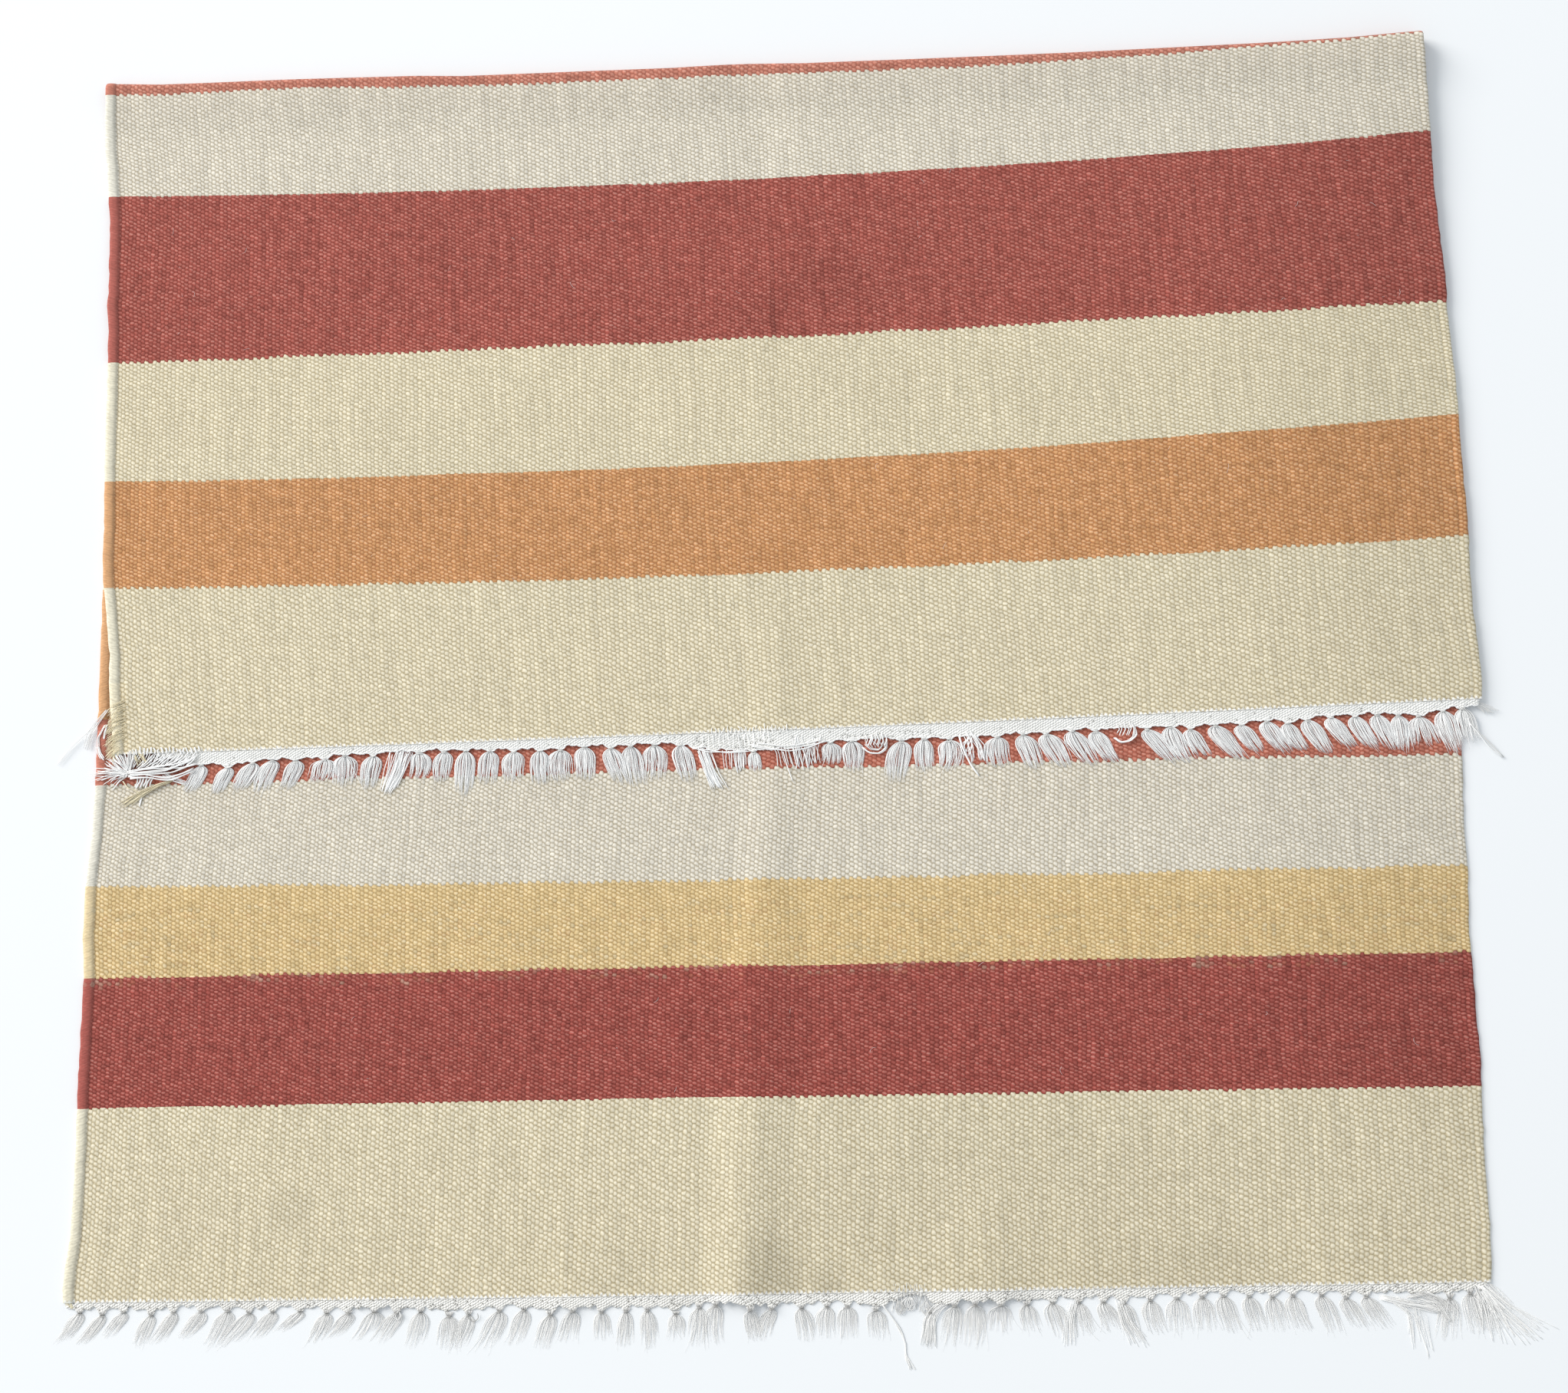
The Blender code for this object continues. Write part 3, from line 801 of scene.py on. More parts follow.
NEAR_TASSELS = rows_of(Tassel, (
    (-690, 10, -707, 36, 8, 7), (-668, 12, -688, 39, 7, 7), (-647, 10, -663, 33, 8, 7),
    (-620, 13, -631, 41, 8, 7), (-598, 10, -616, 39, 8, 8), (-571, 10, -587, 34, 9, 8),
    (-545, 10, -560, 43, 10, 9), (-524, 12, -547, 42, 11, 10), (-501, 11, -519, 36, 9, 8),
    (-474, 11, -492, 28, 8, 7), (-448, 13, -460, 40, 9, 8), (-427, 13, -443, 35, 9, 8),
    (-401, 12, -413, 38, 11, 11), (-379, 13, -396, 40, 10, 10), (-356, 13, -363, 46, 10, 10),
    (-328, 17, -330, 48, 10, 10), (-309, 16, -320, 47, 9, 9), (-279, 13, -293, 47, 11, 11),
    (-255, 12, -265, 44, 9, 9), (-229, 17, -237, 49, 9, 10), (-207, 14, -213, 42, 9, 10),
    (-179, 15, -177, 41, 8, 10), (-155, 15, -157, 47, 7, 9), (-134, 14, -131, 49, 8, 8),
    (-106, 18, -105, 40, 8, 10), (-83, 12, -86, 47, 9, 9), (-67, 10, -67, 46, 10, 10),
    (-33, 15, -27, 44, 8, 8), (-12, 14, -20, 41, 8, 8), (17, 14, 23, 45, 9, 10),
    (42, 13, 41, 42, 9, 10), (62, 13, 62, 43, 10, 11), (90, 17, 93, 43, 10, 10),
    (143, 20, 142, 53, 6, 7), (167, 14, 163, 51, 10, 10), (187, 13, 185, 53, 11, 10),
    (212, 14, 211, 39, 11, 14), (238, 14, 245, 40, 9, 10), (263, 13, 273, 45, 11, 12),
    (289, 13, 295, 43, 9, 12), (313, 13, 325, 41, 9, 10), (333, 14, 343, 45, 9, 8),
    (359, 12, 367, 43, 10, 11), (385, 11, 387, 42, 11, 12), (410, 10, 414, 42, 10, 11),
    (431, 9, 441, 43, 10, 10), (456, 10, 465, 42, 10, 11), (479, 11, 486, 42, 10, 10),
    (499, 10, 511, 42, 10, 10), (527, 10, 540, 45, 10, 9), (551, 13, 567, 41, 10, 10),
    (571, 12, 591, 42, 10, 10), (653, 15, 649, 53, 10, 13), (673, 11, 681, 49, 11, 11),
    (683, 7, 695, 47, 10, 10),
))

# An end of the rug: the line that its cloth ends on, whether it lies on the other layer, its
# tassels and how ragged they are, how high its hem rises between two knots (in millimetres) and
# how far from them (in metres), and pairs of (across, down) in millimetres where the hem hangs
# slack or is worn away. Its open places are (across, half a width, share of holes), in metres.
End = namedtuple("End", "line upper tassels ragged arch arch_width slack worn open_places")
FAR_END = End(
    UPPER_LAYER[-1], True, FAR_TASSELS, 0.22, 2.4, 0.009,
    ((-90, 16), (-72, 18.5), (-50, 19.5), (-15, 21), (5, 20), (24, 17)),
    ((-720, -1), (-645, -1), (-632, 4), (-606, 11), (-590, 14), (-565, 20), (-95, 20), (60, 20),
     (325, 20), (345, 11), (365, 20), (690, 12), (709, 6)),
    ((-0.045, 0.070, 0.32), (0.100, 0.140, 0.14), (0.560, 0.160, 0.12), (-0.360, 0.060, 0.10)),
)
NEAR_END = End(
    LOWER_LAYER[0], False, NEAR_TASSELS, 0.55, 4.6, 0.0065,
    (),
    ((-704, 9), (-91, 13), (-66, 7), (-48, 9), (-40, 13), (100, 13), (112, 6), (126, 2), (136, 4),
     (150, 12), (590, 11), (632, 10), (691, 7)),
    ((-0.030, 0.050, 0.30), (0.130, 0.050, 0.35), (0.280, 0.150, 0.14), (0.600, 0.080, 0.25),
     (-0.400, 0.080, 0.12)),
)


def across(end, x):
    """The share of the way across at x, and the y of the line that an end's cloth ends on."""
    share = (x - end.line.left_x) / (end.line.right_x - end.line.left_x)
    return share, on_line(end.line, share)[1]


def below(end, x, drop):
    """The y that lies a drop below the line that an end's cloth ends on."""
    return across(end, x)[1] - drop


def under(end, x, y):
    """Height of what an end's tassels lie on."""
    return CLOTH_THICK + lower_lift(x, y) if end.upper else np.zeros_like(x)


def weave_height(end, x, y, drop):
    """Height of the middle of the cotton band, which droops towards its hem."""
    droop = HEADING_DROOP if end.upper else CLOTH_THICK / 2 - NEAR_HEM_HEIGHT
    middle = (UPPER_UNDERSIDE if end.upper else 0) + CLOTH_THICK / 2 + lower_lift(x, y)
    return middle - droop * np.clip(drop / DROOP_LENGTH, 0, 1)


def worn_to(end, x):
    """How far down the worn places let the band reach."""
    return read_table(np.array(end.worn) / 1000, x)


def hem_drop(end, x):
    """How far down the band reaches: to the knots, a little less between them."""
    held = sorted([(tassel.x, tassel.drop) for tassel in end.tassels] + list(end.slack))
    knots, drops = np.array(held).T / 1000
    nearest = np.abs(x[:, None] - knots).min(axis=1)
    arch = end.arch / 1000 * (1 - bump(nearest, end.arch_width))
    at_knots = np.interp(x, knots, drops) - HEM_SHORT - arch
    wave = uneven(x, 31, (0.012, end.arch * 0.0003), (0.045, 0.0005))
    return np.minimum(at_knots, worn_to(end, x)) + wave


def cotton_weave(name, colour, wear_and_gap_shade, hole_share):
    """Undyed cotton: small slanting beads with worn places, and painted shade in their gaps and
    holes.
    """
    cotton = Finish(name, roughness=0.9, sheen=0.15)
    warp, row, face = cotton.count("woven")
    hole, _, _ = cotton.count("edge")
    flat = cotton.vector(warp * WARP_STEP, row * HEADING_ROW, face)
    shake_x, shake_y, shake = cotton.noises(flat, 230, 1)
    wander = cotton.noise(flat, 16, 1) - 0.5
    columns = warp * 1.7 + shake_x * 0.9
    reach, _, _, _, _, own = cotton.beads(
        columns, row + shake_y * 0.9 + wander * 1.6, HEADING_LEAN, face
    )
    clump = cotton.noise(flat, 85, 4, 0.7) - 0.5
    patch = cotton.noise(flat, 9, 3)
    # Painted shade: the gaps between beads and the holes in the weave are darkened towards the
    # second colour, which also tints the worn places
    gap = reach.ramp(0.46, 1.0) * (0.15 + own * 1.1)
    shade = 1.03 + (own - 0.5) * 0.12 + clump * 0.36
    worn = cotton.blend(patch.ramp(0.45, 0.75) * 0.16, colour, wear_and_gap_shade)
    dark = cotton.blend(gap * 0.9, worn, wear_and_gap_shade)
    holes = ((own * 5.7).wrapped(1) < hole_share + hole) * reach.fade(0.06, 0.34)
    dark = cotton.blend(holes * 0.9, dark, tuple(0.45 * part for part in wear_and_gap_shade))
    cotton.show_colour(dark, shade)
    cotton.bumps(1 - reach - holes * 1.5 + shake * 0.5, COTTON_RELIEF)
    return cotton.material


def on_both_sides(values):
    """A band's values by row and column, for its top and its base, from the hem upwards."""
    return np.stack([values, values])[:, ::-1]


def make_heading(name, end, material):
    """The cotton band at an end of the rug, thinner and scalloped towards its hem."""
    left, right = end.line.left_x + HEADING_INSET, end.line.right_x - HEADING_INSET
    x = np.linspace(left, right, HEADING_COLUMNS)
    share, line_y = across(end, x)
    hem = np.maximum(hem_drop(end, x), HEADING_START + LEAST_BAND)
    down = np.linspace(0, 1, HEADING_ROWS)[:, None]
    drop = HEADING_START + (hem - HEADING_START) * down
    x = np.repeat(x[None], HEADING_ROWS, 0)
    y = line_y - drop
    rounding = np.sqrt(1 - np.clip((down - HEM_ROUNDS_FROM) / HEM_ROUNDING, 0, 1) ** 2)
    half = HEADING_THICK / 2 * (1 - HEADING_TAPER * down) * rounding
    middle = weave_height(end, x, y, drop)
    sides = [np.stack([x, y, middle + half * side], -1)[::-1] for side in (1, -1)]
    faces = wrap_sheet(HEADING_ROWS, HEADING_COLUMNS)
    piece = make_piece(name, np.stack(sides).reshape(-1, 3), faces, material)
    face = np.stack([np.zeros_like(drop), np.ones_like(drop)])
    keep_count(piece, "woven", warp_count(share), on_both_sides(drop / HEADING_ROW), face)
    at_hem = np.clip((drop - OPENS_FROM) / OPENS_OVER, 0, 1)
    open_weave = at_hem * sum(
        chance * bump(x - place, width) for place, width, chance in end.open_places
    )
    keep_count(piece, "edge", on_both_sides(open_weave), 0, np.zeros_like(face))
    lay_flat(piece, HEADING_ROWS, HEADING_COLUMNS)
    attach(piece, "root")
    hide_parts(name.replace("cotton_band", "heading"))
    return piece


bleached = cotton_weave("bleached_cotton", (1.0, 0.985, 0.945), (0.58, 0.56, 0.52), 0.02)
far_band = make_heading("cotton_band_far", FAR_END, bleached)
greyed = cotton_weave("greyed_cotton", (1.0, 0.975, 0.925), (0.32, 0.295, 0.255), 0.10)
near_band = make_heading("cotton_band_near", NEAR_END, greyed)


# ---------------------------------------------------------------------------------------
# The fringes. Warp ends of soft cotton, knotted in bunches against the heading and combed out
# below. At the far end they are full and lie on the cloth; at the near end thin, on the floor.

# Where each point of a strand is, as the share of its length below the knot, and by that share:
# how wide the neck is in millimetres, how far the fan has opened, how high the body swells and
# how thick the strand is
STRAND_PLACES = (-0.11, -0.05, 0.0, 0.06, 0.13, 0.22, 0.33, 0.46, 0.60, 0.74, 0.88, 1.0)
NECK_SHAPE = ((-0.11, 4.2), (-0.05, 3.0), (0.0, 1.5))
FAN_OPENS = ((0.0, 0.15), (0.06, 0.50), (0.13, 0.76), (0.22, 0.93), (0.33, 1.0), (1.0, 1.0))
BODY_SHAPE = ((0, 0.5), (0.10, 0.95), (0.28, 1.0), (0.5, 0.8), (0.8, 0.35), (1.2, 0.12))
STRAND_TAPER = ((-0.11, 1.0), (0.0, 0.7), (0.1, 1.0), (0.6, 0.85), (1.0, 0.20))
# The least half width of a fan, how far up and down a neck's strands lie, how far strands wander,
# and the draw above which a strand strays
FAN_LEAST = 0.0013
NECK_DEPTH = 0.0016
STRAND_WANDER = 0.0006
STRAY_ABOVE = 0.94
# Where the two turns of a knot lie, in millimetres from its middle, and how flat they are
KNOT_TURNS = (-0.5, 0.6)
KNOT_FLATNESS = 0.72
# The twined threads start past the unravelled corner and take a full turn in a pitch. They are
# whole where the hem reaches far enough down, and worn away to almost nothing elsewhere.
TWINING_START = -0.602
TWINING_INSET = 0.002
TWINING_STEP = 0.0022
TWINING_PITCH = 0.0075
TWINING_RISE = 0.0005
TWIST_RADIUS = 0.0006
WHOLE_HEM = 0.006
WORN_THREAD = 0.0001
# A tube's cross-section stands on its path with this direction up, which no path quite takes
ALMOST_UP = (0.02, 0.03, 1.0)
CELL_MARGIN = 0.04
CELL_SPAN = 0.92
# How many points a knot's ring and a laid thread have, and how a thread is eased
RING_POINTS = 13
THREAD_PLACES = 13
EASING_POINTS = 61
EASING_PASSES = 14


def spin(name, material, sides, paths, radii, kept, squashed=0.7, slot="cotton_warp_ends"):
    """Strands as closed tubes, one for each path, with three kept values a point.

    Loose fibres lie flat, so a tube is lower than it is wide by the squashed share. Radii and
    kept values may be given once for a whole strand, or once for a place on every strand.
    """
    strands, places = paths.shape[:2]
    radii, *kept = (np.broadcast_to(value, (strands, places)) for value in (radii, *kept))
    along = np.gradient(paths, axis=1)
    along /= np.linalg.norm(along, axis=-1, keepdims=True) + 1e-12
    across_it = np.cross(along, ALMOST_UP)
    across_it /= np.linalg.norm(across_it, axis=-1, keepdims=True) + 1e-12
    above_it = np.cross(across_it, along)
    angles = (np.arange(sides) + 0.5) * 2 * np.pi / sides - np.pi / 2
    ring = (across_it[:, :, None] * np.cos(angles)[:, None]
            + above_it[:, :, None] * np.sin(angles)[:, None] * squashed)
    points = paths[:, :, None] + ring * radii[:, :, None, None]
    index = np.arange(strands * places * sides).reshape(strands, places, sides)
    turn = np.roll(index, -1, axis=2)
    walls = np.stack([index[:, :-1], turn[:, :-1], turn[:, 1:], index[:, 1:]], -1).reshape(-1, 4)
    ends = np.concatenate([index[:, 0, ::-1], index[:, -1]])
    piece = make_piece(name, points.reshape(-1, 3), walls.tolist() + ends.tolist(), material)
    keep_count(piece, "strand", *(value[:, :, None] + np.zeros(sides) for value in kept))

    # Each strand is mapped flat in a small cell of its own
    cells = math.ceil(math.sqrt(strands))
    shape = (strands, places - 1, sides, 4)
    wall_u = (np.arange(sides)[:, None] + np.array([0.1, 0.9, 0.9, 0.1])) / sides
    wall_v = (np.arange(places - 1)[:, None] + np.array([0, 0, 1, 1])) / places
    wall = [np.broadcast_to(part, shape) for part in (wall_u[None, None], wall_v[None, :, None])]
    corner = 2 * np.pi * np.arange(sides) / sides
    cap = 0.5 + np.stack([np.cos(corner), np.sin(corner)], -1) * 0.45
    caps = [cap[None] * (0.5, 1 / places) + (offset, 1 - 1 / places) for offset in (0, 0.5)]
    cell = np.stack([np.arange(strands) % cells, np.arange(strands) // cells], -1)[:, None]
    parts = np.stack(wall, -1).reshape(strands, -1, 2), *caps
    placed = [(part * CELL_SPAN + CELL_MARGIN + cell) / cells for part in parts]
    keep_map(piece, np.concatenate([part.reshape(-1, 2) for part in placed]))
    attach(piece, "root")
    return piece


def soft_cotton(name, colour, dirt_and_shade_colour, own_shade):
    """Loose cotton fibre: each strand a little its own tone, darker where tied, by dirt and painted
    shade.
    """
    cotton = Finish(name, roughness=0.8, sheen=0.5)
    own, share, knot = cotton.count("strand")
    fibre = cotton.noise(cotton.vector(own * 91.0, share * 5.0), 1.0, 3) - 0.5
    tone = 0.985 + (own - 0.5) * own_shade + fibre * own_shade * 1.5
    tied = cotton.blend(knot, colour, dirt_and_shade_colour)
    cotton.show_colour(tied, tone)
    return cotton.material


def tassel_paths(end, count, thick, fullness, seed):
    """Every strand of an end's tassels: where it goes, its radius and its kept values."""
    draw = np.random.default_rng(seed)
    shape = (len(end.tassels), count, len(STRAND_PLACES))
    tassel = Tassel(*(np.array(end.tassels, dtype=float).T / 1000)[:, :, None, None])

    def per_strand(how, *limits):
        """One draw for every strand."""
        return how(*limits, shape[:2])[:, :, None]

    def per_tassel(how, *limits):
        """One draw for every tassel."""
        return how(*limits, shape[0])[:, None, None]

    side = np.linspace(-1, 1, count) + draw.normal(0, 0.05, shape[:2])
    side = draw.permuted(side, axis=1)[:, :, None]
    layer = per_strand(draw.uniform, 0, 1)
    own = per_strand(draw.uniform, 0, 1)
    stray = per_strand(draw.uniform, 0, 1) > STRAY_ABOVE
    share = np.broadcast_to(np.array(STRAND_PLACES), shape)
    below_knot = np.clip(share, 0, 1)
    length = np.where(stray, per_strand(draw.uniform, 1.0, 1.25),
                      1.06 - end.ragged * per_strand(draw.uniform, 0, 1) ** 1.5)
    below_knot = below_knot * length * (1 - 0.10 * side * side)

    # Each tassel parts into a few locks towards its tip
    locks = per_tassel(draw.uniform, 1.2, 2.4)
    lock_start = per_tassel(draw.uniform, 0, 1)
    lock = (np.round(side * locks + lock_start) - lock_start) / locks
    side_here = side + (lock - side) * 0.40 * below_knot ** 2
    side_here = side_here + stray * per_strand(draw.normal, 0, 0.5) * below_knot ** 1.5
    opening = read_table(FAN_OPENS, below_knot)
    fan = (tassel.fan + (tassel.tip - tassel.fan) * below_knot ** 1.6) * opening
    neck = read_table(NECK_SHAPE, share) / 1000
    fan = np.where(share > 0, np.maximum(fan, FAN_LEAST), neck)
    wave = per_strand(draw.uniform, 0, 2 * np.pi)
    wander = STRAND_WANDER * np.sin(below_knot * 7 + wave) * below_knot
    bend = per_tassel(draw.normal, 0, 0.10) * tassel.fan * np.sin(np.pi * below_knot)
    lean = (tassel.tip_x - tassel.x) * below_knot ** 1.25
    x = tassel.x + lean + side_here * fan + wander + bend
    fall = (tassel.reach - tassel.drop) * (below_knot + np.minimum(share, 0) * 1.25)
    drop = tassel.drop + fall

    # A strand comes out of the weave, swells into the tassel's body and comes to rest
    y = below(end, x, drop)
    rest = under(end, x, y) + thick
    dome = read_table(BODY_SHAPE, below_knot)
    body = rest + layer * fullness * dome * np.sqrt(np.clip(1.05 - side * side, 0.05, 1))
    tied = weave_height(end, x, y, drop) + (layer - 0.5) * NECK_DEPTH
    settled = ease(below_knot / 0.20)
    z = np.maximum(tied + (body - tied) * settled, rest * settled + tied * (1 - settled))
    radius = thick * read_table(STRAND_TAPER, share)
    z = np.maximum(z, radius)
    # Strands are darker at the knot, partly dirt and partly painted shade
    knot = np.exp(-(share / 0.05) ** 2) * (0.5 + 0.5 * layer)
    flat = (-1, shape[2])
    kept = [np.broadcast_to(value, shape).reshape(flat) for value in (own, share, knot)]
    paths = np.stack([x, y, z], -1).reshape(-1, shape[2], 3)
    return paths, np.broadcast_to(radius, shape).reshape(flat), kept


def knot_rings(end, reach, thick, seed):
    """Two turns of cotton round the neck of each tassel."""
    draw = np.random.default_rng(seed)
    angle = np.linspace(0, 2 * np.pi, RING_POINTS)
    paths = []
    for tassel in end.tassels:
        for turn in KNOT_TURNS:
            drop = (tassel.drop + turn + draw.normal(0, 0.3)) / 1000
            drop = drop + np.sin(angle) * draw.normal(0, 0.0005)
            x = tassel.x / 1000 + np.cos(angle) * reach * draw.uniform(0.85, 1.15)
            y = below(end, x, drop)
            z = weave_height(end, x, y, drop) + np.sin(angle) * reach * KNOT_FLATNESS
            paths.append(np.stack([x, y, np.maximum(z, under(end, x, y) + thick)], -1))
    paths = np.array(paths)
    # The rings are darkened like a knot, partly dirt and partly painted shade
    return paths, thick, [draw.uniform(0, 1, (len(paths), 1)), angle / 6, 0.7]


def twining(end, thick, seed):
    """Two threads twisted together, which hold the hem from one side to the other."""
    draw = np.random.default_rng(seed)
    x = np.arange(TWINING_START, end.line.right_x - TWINING_INSET, TWINING_STEP)
    whole = worn_to(end, x) > WHOLE_HEM
    paths = []
    for phase in (0, np.pi):
        twist = x / TWINING_PITCH * 2 * np.pi + phase + uneven(x, seed, (0.05, 0.6))
        drop = hem_drop(end, x) - HEM_SHORT + TWIST_RADIUS * np.sin(twist)
        y = below(end, x, drop)
        z = weave_height(end, x, y, drop) + TWINING_RISE + TWIST_RADIUS * np.cos(twist)
        paths.append(np.stack([x, y, z], -1))
    radius = np.where(whole, thick, WORN_THREAD)
    return np.array(paths), radius, [draw.uniform(0, 1, (2, 1)), x / 0.05, 0.12]


def lay_threads(end, threads):
    """Single threads, each laid through points of (across, down, height) in millimetres.

    A thread is (radius, tone, points); it is eased through its points like a bent wire.
    """
    taper = np.r_[np.ones(THREAD_PLACES - 1), 0.5]
    paths, radii, tones = [], [], []
    for radius, tone, points in threads:
        points = np.array(points, dtype=float) / 1000
        at = np.r_[0, np.cumsum(np.linalg.norm(np.diff(points, axis=0), axis=1))]
        at /= at[-1]
        smooth = np.linspace(0, 1, EASING_POINTS)
        eased = np.stack([np.interp(smooth, at, axis) for axis in points.T], -1)
        for _ in range(EASING_PASSES):
            eased[1:-1] = (eased[:-2] + eased[1:-1] * 2 + eased[2:]) / 4
        x, drop, height = eased[np.linspace(0, EASING_POINTS - 1, THREAD_PLACES).astype(int)].T
        y = below(end, x, drop)
        z = np.maximum(under(end, x, y) + height, 0) + radius / 1000
        paths.append(np.stack([x, y, z], -1))
        radii.append(radius / 1000 * taper)
        tones.append([tone])
    own = np.linspace(0, 1, len(paths))[:, None]
    return np.array(paths), np.array(radii), [own, np.linspace(0, 1, THREAD_PLACES), tones]


# The threads laid one by one all draw their unevenness from this, in the order they are listed
luck = np.random.default_rng(77)


def bundle(count, radius, tone, *points):
    """Threads that run together, through points of (across, down, height, spread)."""
    made = []
    for _ in range(count):
        angle, out = luck.uniform(0, 2 * np.pi), luck.uniform(0, 1) ** 0.5
        loose = luck.normal(0, 0.12, (len(points), 2))
        path = [
            (x + spread * (out * math.cos(angle) + loose[index, 0]),
             drop + spread * (out * math.sin(angle) * 0.5 + loose[index, 1]),
             height * luck.uniform(0.3, 1.0))
            for index, (x, drop, height, spread) in enumerate(points)
        ]
        made.append((radius * luck.uniform(0.8, 1.15), tone, path))
    return made


def loops(count, radius, tone, x, drop, width, length):
    """Cut-off warp ends that curl back up to where they come from."""
    made = []
    for _ in range(count):
        lean, wide = luck.normal(0, width * 0.3), width * luck.uniform(0.6, 1.2)
        low = drop + length * luck.uniform(0.7, 1.1)
        start = x + luck.normal(0, 0.8)
        path = [(start, drop, 2.5), (start - wide + lean, drop + length * 0.45, 2.5),
                (start + lean, low, 1.0), (start + wide + lean, drop + length * 0.5, 2.5),
                (start + 0.8, drop + 1, 3.0)]
        made.append((radius, tone, path))
    return made


def bare_ends(span, radius, tone, start, middle, end):
    """Short bare ends of warp, where the weave has gone.

    The span is (from, to, step) across; each place on an end is (shift, down, height).
    """
    made = []
    for x in np.arange(*span):
        path = [
            (x + shift + luck.normal(0, 0.7), drop + luck.normal(0, 1.0), height)
            for shift, drop, height in (start, middle, end)
        ]
        made.append((radius * luck.uniform(0.8, 1.2), tone, path))
    return made


